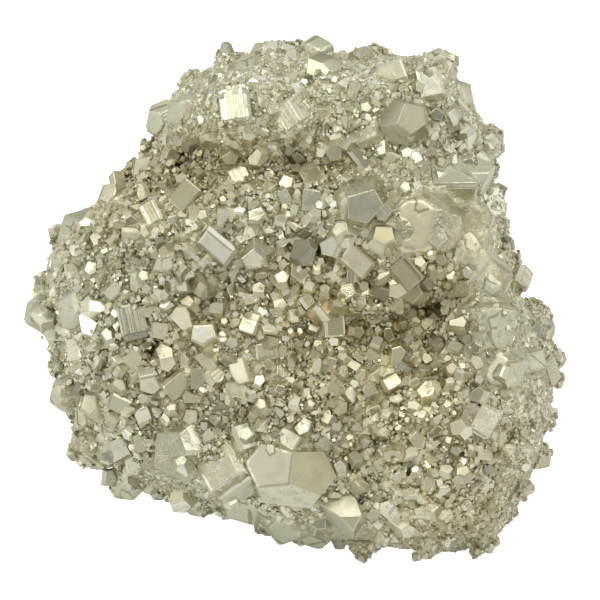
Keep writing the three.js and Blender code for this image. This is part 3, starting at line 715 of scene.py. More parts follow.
@dataclass
class Crystals:
    """Crystals of one kind: their places in millimetres, sizes, turns, proportions and finishes."""

    places: np.ndarray
    radii: np.ndarray
    outward: np.ndarray
    turns: np.ndarray
    stretch: np.ndarray
    form: np.ndarray
    tint: np.ndarray
    gloss: np.ndarray
    frost: np.ndarray
    lines: np.ndarray


def turns_from(quaternions):
    """Rotation matrices of quaternions given as rows of w, x, y, z."""
    w, x, y, z = unit_rows(quaternions).T
    return np.stack((
        np.stack((1 - 2 * (y * y + z * z), 2 * (x * y - w * z), 2 * (x * z + w * y)), 1),
        np.stack((2 * (x * y + w * z), 1 - 2 * (x * x + z * z), 2 * (y * z - w * x)), 1),
        np.stack((2 * (x * z - w * y), 2 * (y * z + w * x), 1 - 2 * (x * x + y * y)), 1),
    ), 1)


def random_turns(random, count):
    return turns_from(random.normal(size=(count, 4)))


def slight_turns(random, count, spread):
    return turns_from(np.concatenate((np.ones((count, 1)), random.normal(size=(count, 3)) * spread / 2), 1))


def tree_of(points):
    """The points in a tree that finds those near a place."""
    tree = KDTree(len(points))
    for index, point in enumerate(points):
        tree.insert(point, index)
    tree.balance()
    return tree


def shared_turns(places):
    """The turn that each place shares with its neighbours, from patches grown side by side."""
    random = np.random.default_rng(77)
    seeds, _ = solid_samples(random, 130)
    turns = random_turns(random, len(seeds))
    tree = tree_of(seeds)
    return np.array([turns[tree.find(place)[1]] for place in places])


def facing_turns(random, leading, towards):
    """Turns that bring each crystal's leading facet to face a direction, spun at random about it."""
    side = unit_rows(np.cross(towards, random.normal(size=towards.shape)))
    goal = np.stack((side, np.cross(towards, side), towards), 2)
    own_side = unit_rows(np.cross(leading, (1, 0, 0)))
    start = np.stack((own_side, np.cross(leading, own_side), leading), 2)
    return np.einsum("nij,nkj->nik", goal, start)


def join_crystals(name, forms, crystals, random):
    """One mesh of all the crystals, each a copy of its form, with its facets' finish as attributes."""
    corners, loops, starts, places, finishes, tints, rises = [], [], [], [], [], [], []
    corner_count = loop_count = 0
    for index, form in enumerate(forms):
        chosen = np.flatnonzero(crystals.form == index)
        if not len(chosen):
            continue
        radii = crystals.radii[chosen, None, None]
        shaped = form.corners[None] * crystals.stretch[chosen, None] * radii
        turned = np.einsum("nij,nkj->nki", crystals.turns[chosen], shaped)
        rise = np.einsum("nki,ni->nk", turned, crystals.outward[chosen]) / radii[:, :, 0]
        corners.append((turned + crystals.places[chosen, None]).reshape(-1, 3))
        rises.append(rise.ravel())
        copies = np.arange(len(chosen))[:, None]
        loops.append((form.loops[None] + corner_count + copies * len(form.corners)).ravel())
        starts.append((form.starts[None] + loop_count + copies * len(form.loops)).ravel())
        shift = random.uniform(0, PATTERN_REACH, (len(chosen), 1, 2))
        places.append((form.places[None] * radii + shift).reshape(-1, 2))
        corner_count += len(chosen) * len(form.corners)
        loop_count += len(chosen) * len(form.loops)
        facets = (len(chosen), len(form.sizes))
        # Each facet's painted light and shade, darker facets more olive
        painted_facet_shade = np.clip(random.normal(1, FACET_CONTRAST, facets), *FACET_SHADES)
        tints.append((crystals.tint[chosen, None] * painted_facet_shade[:, :, None] ** SHADE_POWERS).reshape(-1, 3))
        gloss = crystals.gloss[chosen, None] + random.uniform(*FACET_GLOSS, facets)
        frost = crystals.frost[chosen, None] * random.choice(FACET_FROST, facets)
        lines = crystals.lines[chosen, None] * random.choice(FACET_LINES, facets)
        finishes.append(np.stack((gloss, frost, lines), -1).reshape(-1, 3))
    piece = mesh_piece(name, np.concatenate(corners) * MM, np.concatenate(loops), np.concatenate(starts))
    mesh = piece.data
    uv = mesh.uv_layers.new(name="facet")
    uv.uv.foreach_set("vector", np.concatenate(places).astype(np.float32).ravel())
    write_colours(mesh, "tint", np.concatenate(tints))
    write_colours(mesh, "finish", np.clip(np.concatenate(finishes), 0, 1))
    write_values(mesh, "rise", np.concatenate(rises))
    return piece


def mesh_piece(name, corners, loops, starts):
    mesh = bpy.data.meshes.new(name)
    mesh.vertices.add(len(corners))
    mesh.vertices.foreach_set("co", corners.astype(np.float32).ravel())
    mesh.loops.add(len(loops))
    mesh.loops.foreach_set("vertex_index", loops.astype(np.int32))
    mesh.polygons.add(len(starts))
    mesh.polygons.foreach_set("loop_start", starts.astype(np.int32))
    mesh.update(calc_edges=True)
    mesh.shade_flat()
    piece = bpy.data.objects.new(name, mesh)
    bpy.context.scene.collection.objects.link(piece)
    return piece


# Surface of the solid, where the crystals are scattered

def solid_samples(random, count):
    """Points spread evenly over the solid in millimetres, with the outward directions there."""
    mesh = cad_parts[NODE].data
    corners = read_corners(mesh) / MM
    mesh.calc_loop_triangles()
    triangles = read(mesh.loop_triangles, "vertices", 3, np.int32)
    p, q, r = (corners[column] for column in triangles.T)
    normals = np.cross(q - p, r - p)
    areas = np.linalg.norm(normals, axis=1)
    normals /= np.maximum(areas, 1e-9)[:, None]
    chosen = random.choice(len(areas), count, p=areas / areas.sum())
    s, t = random.random((2, count))
    folded = s + t > 1
    s = np.where(folded, 1 - s, s)
    t = np.where(folded, 1 - t, t)
    points = p[chosen] + (q - p)[chosen] * s[:, None] + (r - p)[chosen] * t[:, None]
    return points, normals[chosen]


def solid_surface():
    """The solid's surface in millimetres, for finding places on it."""
    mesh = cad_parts[NODE].data
    corners = [corner.co / MM for corner in mesh.vertices]
    return BVHTree.FromPolygons(corners, [tuple(polygon.vertices) for polygon in mesh.polygons])


def place_on(surface, a, b):
    """The point on the solid that is seen at a place on the crystal face, with its outward direction."""
    point, outward, _, _ = surface.ray_cast(Vector(to_part((a, b, 100))), Vector(-OUT))
    if point is None:
        point, outward, _, _ = surface.find_nearest(Vector(to_part((a, b, 0))))
    return point, outward


class ListedCrystal:
    """One of the larger crystals, with the same facets and place as in the solid."""

    def __init__(self, index, row):
        a, b, self.radius, habit, right, up, spin = row
        self.mark = (a, b)
        self.rounded = habit in SMOOTH_HABITS
        self.bare = self.radius > BARE_RADIUS and b < BARE_BELOW and not self.rounded
        facets, proportions, leading = HABITS[habit]
        numbers = number_stream(index + 1)
        self.planes = [
            self.plane(direction, ideal * (0.93 + 0.14 * next(numbers)), proportions)
            for direction, ideal in facets
        ]
        self.worn_planes = self.planes + [
            self.plane(direction, ideal * (0.96 + 0.12 * next(numbers)), proportions)
            for direction, ideal in EDGE_FACETS[habit]
        ]
        towards = Vector((math.tan(math.radians(right)), math.tan(math.radians(up)), 1)).normalized()
        scaled = Vector(n / (p * self.radius) for n, p in zip(leading, proportions)).normalized()
        turn = scaled.rotation_difference(towards)
        spun = Matrix.Rotation(math.radians(spin), 3, towards) @ turn.to_matrix()
        point, out = face_place(a, b)
        embedded = ROUNDED_EMBEDDED if self.rounded else CRYSTAL_EMBEDDED
        self.place = to_part(point - out * embedded * self.radius)
        self.turn = FACE_AXES.T @ np.array(spun)
        self.towards = np.array(towards) @ FACE_AXES
        self.outward = np.array(out) @ FACE_AXES

    def plane(self, direction, distance, proportions):
        """A facet's outward direction and distance, once the crystal has its proportions."""
        normal = Vector(n / p for n, p in zip(Vector(direction).normalized(), proportions))
        return normal.normalized(), distance / normal.length

    def outside(self, points):
        """How far outside the crystal each point is, in millimetres, negative inside."""
        normals = np.array([normal for normal, _ in self.planes]) @ self.turn.T
        distances = np.array([distance for _, distance in self.planes]) * self.radius
        return ((points - self.place) @ normals.T - distances).max(1)


LISTED = [ListedCrystal(index, row) for index, row in enumerate(CRYSTALS)]
placed = []  # places, radii and least distance, as a share of the radii's sum, of the crystals so far


def away_from_listed(random, points, radii, clearance, overgrowth):
    """Whether each point is clear of the larger crystals, or on the overgrown side of one."""
    clear = np.ones(len(points), bool)
    granular = patch_share(GRANULAR, to_face(np.array([crystal.place for crystal in LISTED])))
    for crystal, grains_here in zip(LISTED, granular):
        side = random.normal(size=3) - 1.2 * crystal.towards
        side /= np.linalg.norm(side)
        overgrown = overgrowth * max(random.random(), grains_here)
        room = clearance
        if crystal.bare:
            overgrown = 0
            room = 1.5 * clearance
        if crystal.rounded:
            overgrown = 0.2 * overgrown
        near = np.linalg.norm(points - crystal.place, axis=1) < 1.6 * crystal.radius
        index = np.flatnonzero(near)
        if not len(index):
            continue
        covered = crystal.outside(points[index]) < room * radii[index]
        on_side = (points[index] - crystal.place) @ side > (0.5 - 0.35 * grains_here) * crystal.radius
        spared = on_side & (random.random(len(index)) < overgrown)
        spared |= patch_share(COVERED, to_face(points[index])) > 0.5
        clear[index[covered & ~spared]] = False
    return clear


def keep_apart(places, radii, spacing, earlier):
    """Indices of the crystals that stand clear enough of each other and of those placed before them."""
    tree = tree_of(places)
    free = np.ones(len(places), bool)
    largest = radii.max()
    for other_places, other_radii, other_spacing in earlier:
        for place, radius in zip(other_places, other_radii):
            for _, index, away in tree.find_range(place, other_spacing * (radius + largest)):
                if away < other_spacing * (radius + radii[index]):
                    free[index] = False
    kept = []
    for index, place in enumerate(places):
        if not free[index]:
            continue
        kept.append(index)
        for _, near, away in tree.find_range(place, spacing * (radii[index] + largest)):
            if away < spacing * (radii[index] + radii[near]):
                free[near] = False
    return np.array(kept, int)


def off_rim(outward):
    """Less at the rim of the face, where the cluster is low and worn."""
    return np.clip((outward @ OUT + 0.1) / 0.45, 0.12, 1)


def pick_some(random, count, likely, chosen, rest):
    """One value for the crystals that are picked at random, as likely as given, and one for the rest."""
    return np.where(random.random(count) < likely, chosen, rest)


def pick_tints(random, points):
    """Tints of crystals at places in the face's axes: brown tarnish and painted shade in the hollows, a
    painted reflection of the pale surroundings on the flanks, darker with painted shade in the hollows and
    lighter with painted light in the lit stretches.
    """
    colours = bpy.context.scene.pyrite_colours
    brown_and_shade = patch_share(BROWN_AND_SHADE, points)[:, None] * random.uniform(0.6, 1.1, (len(points), 1))
    pale_reflection = patch_share(PALE_REFLECTION, points)[:, None] * random.uniform(0.5, 1.1, (len(points), 1))
    tint = np.ones((len(points), 3))
    tint += brown_and_shade * (np.array(colours.brown_and_shade) - 1)
    tint += pale_reflection * (np.array(colours.pale_reflection) - 1)
    own = 1 + random.normal(size=(len(points), 1)) * OWN_TINT_SPREAD
    # Painted shade darkens the crystals in the hollows
    painted_hollow_shade = 1 - patch_share(HOLLOW, points)[:, None] * HOLLOW_PAINTED_SHADE
    # Painted light brightens the crystals in the lit stretches
    painted_light = 1 + PAINTED_LIGHT_GAIN * patch_share(LIT_STRETCHES, points)[:, None]
    return tint * painted_hollow_shade * painted_light * np.clip(own, *OWN_TINT_LIMITS)


def own_finishes(crystals, frost, lines):
    """Painted brightness, frosting and growth lines of the larger crystals, from the list or else as given.
    The brightness is painted light and shade.
    """
    listed = {(a, b): finish for a, b, *finish in FINISHES}
    rows = [listed.get(crystal.mark, (1.0, *rest)) for crystal, *rest in zip(crystals, frost, lines)]
    return np.array(rows, float).T


def scatter(random, forms, kinds, limits, share, count, power, spacing, embedded, facing, tilt, parallel,
            clearance, overgrowth, crowding):
    """Crystals scattered over the solid, the forms as common as kinds says, radii between the limits.

    share gives how likely one is kept, from its place on the face and its outward direction.
    """
    points, outward = solid_samples(random, count)
    smallest, largest = (limit / MM for limit in limits)
    radii = smallest + (largest - smallest) * random.random(count) ** power
    on_face = to_face(points)
    keep = random.random(count) < share(on_face, outward)
    keep &= away_from_listed(random, points, radii, clearance, overgrowth)
    keep &= points[:, 2] > radii * FOOT_ROOM
    keep &= radii < RIM_RADIUS + 3 * np.clip(outward @ OUT, 0, 1) + 3 * (1 - front_share(on_face))
    points, outward, radii, on_face = points[keep], outward[keep], radii[keep], on_face[keep]
    front = front_share(on_face)
    rim = np.clip(1 - outward @ OUT / 0.5, 0, 1) * front
    flatter = np.maximum(patch_share(GRANULAR, on_face), patch_share(SMOOTH, on_face)) * front
    depth = random.uniform(*embedded, len(radii)) + (RIM_SINK + 0.2 * radii) * rim + FLAT_SINK * flatter
    places = points - outward * (radii * depth)[:, None]
    kept = keep_apart(places, radii, spacing, placed)
    places, outward, radii, on_face = places[kept], outward[kept], radii[kept], on_face[kept]
    placed.append((places, radii, crowding))
    count = len(radii)
    turns = random_turns(random, count)
    side_by_side = random.random(count) < parallel
    neighbours = shared_turns(places)[side_by_side]
    slight = slight_turns(random, len(neighbours), 0.08)
    turns[side_by_side] = np.einsum("nij,njk->nik", neighbours, slight)
    form = random.choice(len(kinds), count, p=np.array(kinds) / sum(kinds))
    leading = np.array([made.leading for made in forms])[form]
    towards = unit_rows(outward + random.normal(size=(count, 3)) * tilt)
    flat = random.random(count) < facing
    turns[flat] = facing_turns(random, leading[flat], towards[flat])
    frost = pick_some(random, count, 0.34 + 0.3 * patch_share(GRANULAR, on_face), 1.0, 0.2)
    return Crystals(
        places, radii, outward, turns,
        stretch=random.uniform(*STRETCH, (count, 3)),
        form=form,
        tint=pick_tints(random, on_face),
        gloss=np.clip(random.normal(0.28, 0.07, count), 0.13, 0.5),
        frost=frost,
        lines=pick_some(random, count, 0.4, 1.0, 0.25),
    )


def scatter_piece(name, draw, forms, kinds, limits, share, finish, dulling=0.0, **spread):
    """One piece of scattered crystals. draw numbers its random draws, and finish is its facets' material."""
    random = np.random.default_rng(bpy.context.scene.pyrite_sizes.seed + draw)
    crystals = scatter(random, forms, kinds, limits, share, **spread)
    crystals.gloss = crystals.gloss + dulling
    finish_piece(join_crystals(name, forms, crystals, random), facet_material(*finish))


# Materials

class Nodes:
    """Adds nodes to a node tree. Each input is set to a value or linked to another node's output."""

    def __init__(self, tree):
        self.tree = tree

    def add(self, kind, inputs=(), **settings):
        node = self.tree.nodes.new("ShaderNode" + kind)
        row, column = divmod(len(self.tree.nodes), NODES_IN_ROW)
        node.location = (column * NODE_STEP, -row * NODE_STEP)
        for key, value in settings.items():
            setattr(node, key, value)
        self.feed(node, dict(inputs))
        return node

    def feed(self, node, inputs):
        for key, value in inputs.items():
            if isinstance(value, bpy.types.NodeSocket):
                self.tree.links.new(value, node.inputs[key])
            else:
                node.inputs[key].default_value = value

    def maths(self, operation, *numbers, clamp=False):
        return self.add("Math", enumerate(numbers), operation=operation, use_clamp=clamp).outputs[0]

    def times(self, first, second, clamp=False):
        return self.maths("MULTIPLY", first, second, clamp=clamp)

    def vector(self, operation, *vectors, **inputs):
        return self.add("VectorMath", {**dict(enumerate(vectors)), **inputs}, operation=operation).outputs[0]

    def mix(self, share, first, second, blend="MIX"):
        return self.add("Mix", {0: share, 6: first, 7: second}, data_type="RGBA", blend_type=blend).outputs[2]

    def remap(self, value, low, high, to_low=0.0, to_high=1.0):
        inputs = {"Value": value, "From Min": low, "From Max": high, "To Min": to_low, "To Max": to_high}
        return self.add("MapRange", inputs, interpolation_type="SMOOTHSTEP").outputs[0]

    def noise(self, place, scale, detail=2.0, output=0, roughness=0.5, **settings):
        inputs = {"Vector": place, "Scale": scale, "Detail": detail, "Roughness": roughness}
        return self.add("TexNoise", inputs, **settings).outputs[output]

    def cells(self, place, scale, output, feature="F1"):
        return self.add("TexVoronoi", {"Vector": place, "Scale": scale}, feature=feature).outputs[output]

    def red(self, colours):
        return self.add("SeparateColor", {0: colours}).outputs[0]

    def attribute(self, name, output="Fac"):
        return self.add("Attribute", attribute_name=name).outputs[output]

    def bump(self, height, distance, **inputs):
        return self.add("Bump", {"Height": height, "Distance": distance, **inputs}).outputs[0]

    def effect(self, name, inputs):
        """A shared effect, with its group built the first time that it is asked for."""
        group = bpy.data.node_groups.get(name) or effect_group(name, *EFFECTS[name])
        return self.add("Group", inputs, node_tree=group).outputs


def effect_group(name, build, inputs, outputs):
    tree = bpy.data.node_groups.new(name, "ShaderNodeTree")
    for socket, kind in inputs.items():
        tree.interface.new_socket(name=socket, in_out="INPUT", socket_type=kind)
    for socket, kind in outputs.items():
        tree.interface.new_socket(name=socket, in_out="OUTPUT", socket_type=kind)
    nodes = Nodes(tree)
    result = build(nodes, tree.nodes.new("NodeGroupInput").outputs)
    end = tree.nodes.new("NodeGroupOutput")
    end.location = (NODES_IN_ROW * NODE_STEP, 0)
    nodes.feed(end, result)
    return tree


def growth_lines(nodes, given):
    """Fine parallel growth lines along a facet, given places on it in millimetres."""
    parts = nodes.add("SeparateXYZ", {0: given["Facet place"]}).outputs
    across = nodes.times(parts["X"], given["Lines per mm"])
    stretched = nodes.add("CombineXYZ", {"X": across, "Y": nodes.times(parts["Y"], 0.12)}).outputs[0]
    noise = nodes.noise(stretched, 1.0, 3.0, roughness=0.7, noise_dimensions="2D")
    patches = nodes.noise(given["Facet place"], 0.5, 1.0, noise_dimensions="2D")
    steps = nodes.remap(noise, 0.38, 0.62)
    amount = nodes.times(nodes.remap(patches, 0.38, 0.56), given["Amount"])
    return {
        "Height": nodes.times(steps, amount),
        "Shade": nodes.times(nodes.maths("SUBTRACT", 1.0, steps), amount),
    }


def frosting(nodes, given):
    """Tiny pits and grains that cover part of a facet, given places in millimetres."""
    patches = nodes.noise(given["Place"], 0.55, 3.0)
    mask = nodes.times(nodes.remap(patches, 0.46, 0.56), given["Amount"], clamp=True)
    grains = nodes.cells(given["Place"], given["Grains per mm"], "Distance")
    dark = nodes.noise(given["Place"], given["Grains per mm"])
    return {
        "Mask": mask,
        "Height": nodes.times(nodes.remap(grains, 0.15, 0.6, 1.0, 0.0), mask),
        "Pits": nodes.times(nodes.remap(dark, 0.56, 0.66), mask),
    }


def tarnish_and_root_shade(nodes, given):
    """Olive-brown tarnish film in cloudy patches, and painted shade low down between the crystals, towards
    each crystal's root. Rise is -1 at the root and 1 at the tip.
    """
    cloud = nodes.noise(given["Place"], 0.35, 4.0)
    # Painted shade: darker towards each crystal's root, low down between the crystals
    low = nodes.remap(given["Rise"], -0.3, 0.4, 1.0, 0.0)
    film = nodes.times(nodes.remap(cloud, 0.45, 0.72), given["Film"])
    film_and_shade = nodes.maths("MAXIMUM", nodes.times(low, 0.55), film)
    return {"Colour": nodes.mix(film_and_shade, given["Fresh"], given["Dark marks and shade"]), "Dullness": film_and_shade}


def grain_tilt(nodes, given):
    """Turns the surface of each tiny grain its own way, for glints, given places in millimetres."""
    cells = nodes.cells(given["Place"], given["Grains per mm"], "Color")
    centred = nodes.vector("SUBTRACT", cells, (0.5, 0.5, 0.5))
    turned = nodes.vector("ADD", given["Normal"], nodes.vector("SCALE", centred, Scale=given["Tilt"]))
    return {"Normal": nodes.vector("NORMALIZE", turned), "Shade": nodes.red(cells)}


def seams(nodes, given):
    """Thin broken seams where crystals grew into one another, given places in millimetres."""
    bent = nodes.noise(given["Place"], 0.5, 2.0, "Color")
    place = nodes.vector("ADD", given["Place"], nodes.vector("SCALE", bent, Scale=1.2))
    edge = nodes.cells(place, given["Seams per mm"], "Distance", "DISTANCE_TO_EDGE")
    cell = nodes.cells(place, given["Seams per mm"], "Color")
    line = nodes.maths("LESS_THAN", edge, given["Width"])
    broken = nodes.remap(nodes.noise(given["Place"], 0.4), 0.46, 0.54)
    return {"Mask": nodes.times(line, broken), "Field": nodes.red(cell)}


FLOAT, VECTOR, COLOUR = "NodeSocketFloat", "NodeSocketVector", "NodeSocketColor"

# Effects shared by the materials: what builds each one, its inputs and its outputs
EFFECTS = {
    "growth lines": (
        growth_lines, {"Facet place": VECTOR, "Lines per mm": FLOAT, "Amount": FLOAT},
        {"Height": FLOAT, "Shade": FLOAT},
    ),
    "frosting": (
        frosting, {"Place": VECTOR, "Grains per mm": FLOAT, "Amount": FLOAT},
        {"Mask": FLOAT, "Height": FLOAT, "Pits": FLOAT},
    ),
    "tarnish_and_root_shade": (
        tarnish_and_root_shade, {"Place": VECTOR, "Rise": FLOAT, "Fresh": COLOUR, "Dark marks and shade": COLOUR, "Film": FLOAT},
        {"Colour": COLOUR, "Dullness": FLOAT},
    ),
    "grain tilt": (
        grain_tilt, {"Place": VECTOR, "Normal": VECTOR, "Grains per mm": FLOAT, "Tilt": FLOAT},
        {"Normal": VECTOR, "Shade": FLOAT},
    ),
    "seams": (
        seams, {"Place": VECTOR, "Seams per mm": FLOAT, "Width": FLOAT}, {"Mask": FLOAT, "Field": FLOAT},
    ),
}


def shaded(colour, shares=(1, 1, 1)):
    """A colour for a socket, with its red, green and blue made darker or lighter."""
    return (*(part * share for part, share in zip(colour, shares)), 1.0)


def new_material(name):
    """A metal material, its nodes and shader, places in millimetres, the fresh colour and the colour of dark
    marks and painted shade.
    """
    material = bpy.data.materials.new(name)
    material.use_nodes = True
    material.node_tree.nodes.clear()
    nodes = Nodes(material.node_tree)
    shader = nodes.add("BsdfPrincipled", {"Metallic": 1.0})
    nodes.add("OutputMaterial", {"Surface": shader.outputs[0]})
    in_mm = nodes.vector("SCALE", nodes.add("TexCoord").outputs["Object"], Scale=1 / MM)
    colours = bpy.context.scene.pyrite_colours
    return material, nodes, shader, in_mm, colours.fresh, shaded(colours.dark_marks_and_shade)


def facet_material(name, lines_per_mm, film, relief):
    """Pyrite facets: a satin metal tint for each facet, which also carries painted light and shade, growth
    lines, frosted patches, tarnish, and painted shade low down between the crystals.
    """
    material, nodes, shader, in_mm, clean, dark_marks_and_shade = new_material(name)
    tint = nodes.attribute("tint", "Color")
    gloss, frost, lines = nodes.add("SeparateColor", {0: nodes.attribute("finish", "Color")}).outputs
    facet = nodes.add("UVMap", uv_map="facet").outputs[0]
    line = nodes.effect("growth lines", {"Facet place": facet, "Lines per mm": lines_per_mm, "Amount": lines})
    frosted = nodes.effect("frosting", {"Place": in_mm, "Grains per mm": 3.2, "Amount": frost})
    fresh = nodes.mix(1.0, shaded(clean), tint, "MULTIPLY")
    filmed = nodes.effect("tarnish_and_root_shade", {
        "Place": in_mm, "Rise": nodes.attribute("rise"), "Fresh": fresh, "Dark marks and shade": dark_marks_and_shade, "Film": film,
    })
    lined = nodes.mix(nodes.times(line["Shade"], 0.32), filmed["Colour"], dark_marks_and_shade)
    pitted = nodes.mix(nodes.times(frosted["Pits"], 0.75), lined, dark_marks_and_shade)
    rough = nodes.maths("ADD", gloss, nodes.times(frosted["Mask"], 0.12))
    rougher = nodes.maths("ADD", rough, nodes.times(filmed["Dullness"], 0.2), clamp=True)
    waves = nodes.noise(in_mm, 0.6)
    height = nodes.maths("ADD", nodes.times(line["Height"], 0.35), frosted["Height"])
    height = nodes.maths("ADD", height, nodes.times(waves, 0.5))
    nodes.feed(shader, {"Base Color": pitted, "Roughness": rougher, "Normal": nodes.bump(height, relief)})
    return material


def massive_material(name):
    """Massive pyrite: dull and brown between the crystals from a tarnish film and painted shade, granular and
    glinting where broken.
    """
    material, nodes, shader, in_mm, clean, dark_marks_and_shade = new_material(name)
    normal = nodes.add("NewGeometry").outputs["Normal"]
    tilt = nodes.times(nodes.attribute("glitter"), 0.48)
    coarse = nodes.effect("grain tilt", {
        "Place": in_mm, "Normal": normal, "Grains per mm": 0.9, "Tilt": tilt,
    })
    grains = nodes.effect("grain tilt", {
        "Place": in_mm, "Normal": coarse["Normal"], "Grains per mm": 2.2, "Tilt": tilt,
    })
    fresh = nodes.mix(grains["Shade"], shaded(clean), shaded(clean, (0.78, 0.76, 0.66)))
    film = nodes.times(nodes.remap(nodes.noise(in_mm, 0.18, 5.0), 0.42, 0.68), 0.62)
    # The tarnish film, and painted shade where the body lies between the crystals on the face
    film_and_shade = nodes.maths("MAXIMUM", film, nodes.times(nodes.attribute("painted_gap_shade"), 0.6))
    fine = nodes.noise(in_mm, 2.4, 4.0)
    nodes.feed(shader, {
        "Base Color": nodes.mix(film_and_shade, fresh, dark_marks_and_shade),
        "Roughness": nodes.maths("MULTIPLY_ADD", coarse["Shade"], 0.22, 0.24),
        "Normal": nodes.bump(fine, 0.0001, Normal=grains["Normal"]),
    })
    return material


def smooth_material(name):
    """Rounded facets grown into one another: soft beige and grey-green fields, seams, glittering patches."""
    material, nodes, shader, in_mm, clean, dark_marks_and_shade = new_material(name)
    seam = nodes.effect("seams", {"Place": in_mm, "Seams per mm": 0.2, "Width": 0.035})
    warmth = nodes.attribute("warmth")
    field = nodes.maths("ADD", nodes.times(seam["Field"], 0.3), nodes.noise(in_mm, 0.16, 3.0))
    field = nodes.maths("ADD", nodes.times(warmth, 0.5), field)
    grey, warm = shaded(clean, (0.88, 0.9, 0.89)), shaded(clean, (1.1, 1.05, 0.97))
    fresh = nodes.mix(nodes.remap(field, 0.6, 1.1), grey, warm)
    granular = nodes.maths("ADD", nodes.times(warmth, -0.45), 0.55)
    frosted = nodes.effect("frosting", {"Place": in_mm, "Grains per mm": 3.6, "Amount": granular})
    pitted = nodes.mix(nodes.times(frosted["Pits"], 0.6), fresh, dark_marks_and_shade)
    normal = nodes.add("NewGeometry").outputs["Normal"]
    planes = nodes.effect("grain tilt", {
        "Place": in_mm, "Normal": normal, "Grains per mm": 0.25, "Tilt": 0.1,
    })
    tilt = nodes.times(frosted["Mask"], 0.36)
    glints = nodes.effect("grain tilt", {
        "Place": in_mm, "Normal": planes["Normal"], "Grains per mm": 2.6, "Tilt": tilt,
    })
    waves = nodes.times(nodes.noise(in_mm, 0.9, 3.0), 0.35)
    height = nodes.maths("SUBTRACT", waves, seam["Mask"])
    nodes.feed(shader, {
        "Base Color": nodes.mix(nodes.times(seam["Mask"], 0.8), pitted, dark_marks_and_shade),
        "Roughness": nodes.maths("MULTIPLY_ADD", frosted["Mask"], 0.1, 0.36),
        "Normal": nodes.bump(height, 0.00006, Normal=glints["Normal"]),
    })
    return material


# Operators

class PYRITE_OT_massive(bpy.types.Operator):
    """Makes the massive body under the crystals, granular where it is broken"""

    bl_idname = "pyrite.massive"
    bl_label = "Massive pyrite"

    def execute(self, context):
        sizes = context.scene.pyrite_sizes
        deselect_all()
        piece = bpy.data.objects.new("massive_pyrite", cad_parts[NODE].data.copy())
        context.scene.collection.objects.link(piece)
        piece.select_set(True)
        context.view_layer.objects.active = piece
        bpy.ops.object.mode_set(mode="EDIT")
        bpy.ops.mesh.select_all(action="SELECT")
        bpy.ops.mesh.remove_doubles(threshold=1e-6)
        bpy.ops.object.mode_set(mode="OBJECT")
        apply_modifier(piece, "Even faces", "REMESH", mode="VOXEL", voxel_size=sizes.massive_grain)
        self.roughen(piece, sizes)
        flatten_foot(piece)
        piece.data.shade_flat()
        finish_piece(piece, massive_material("massive pyrite"))
        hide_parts(NODE)
        return {"FINISHED"}

    def roughen(self, piece, sizes):
        """Sinks the face between the crystals and raises grains on the back."""
        corners = read_corners(piece.data) / MM
        on_face = to_face(corners)
        front = front_share(on_face)
        smooth = patch_share(SMOOTH, on_face)
        flat = np.maximum(smooth, patch_share(GRANULAR, on_face))
        foot = np.clip(1 - corners[:, 2] / FOOT_BLEND, 0, 1)
        weights = {"gap": front * (1 - 0.8 * flat) * (1 - foot), "grain": (1 - front) * (1 - foot)}
        for name, weight in weights.items():
            group = piece.vertex_groups.new(name=name)
            for level in range(11):
                index = np.flatnonzero(np.abs(weight - level / 10) <= 0.05)
                group.add(index.tolist(), level / 10, "REPLACE")
        # Where painted shade darkens the massive body between the crystals on the face, less in the granular
        # and smooth stretches
        write_values(piece.data, "painted_gap_shade", front * (1 - 0.85 * flat))
        write_values(piece.data, "glitter", 1 - 0.85 * front * smooth)
        displace(piece, "Gap", "CLOUDS", 0.004, -2 * sizes.crystal_gap, middle=0, group="gap")
        displace(piece, "Broken planes", "VORONOI", 0.011, 0.0014, group="grain")
        displace(piece, "Coarse grain", "VORONOI", 0.0024, 0.0011, group="grain")
        displace(piece, "Fine grain", "CLOUDS", 0.0009, 0.0007, group="grain")
        piece.vertex_groups.clear()


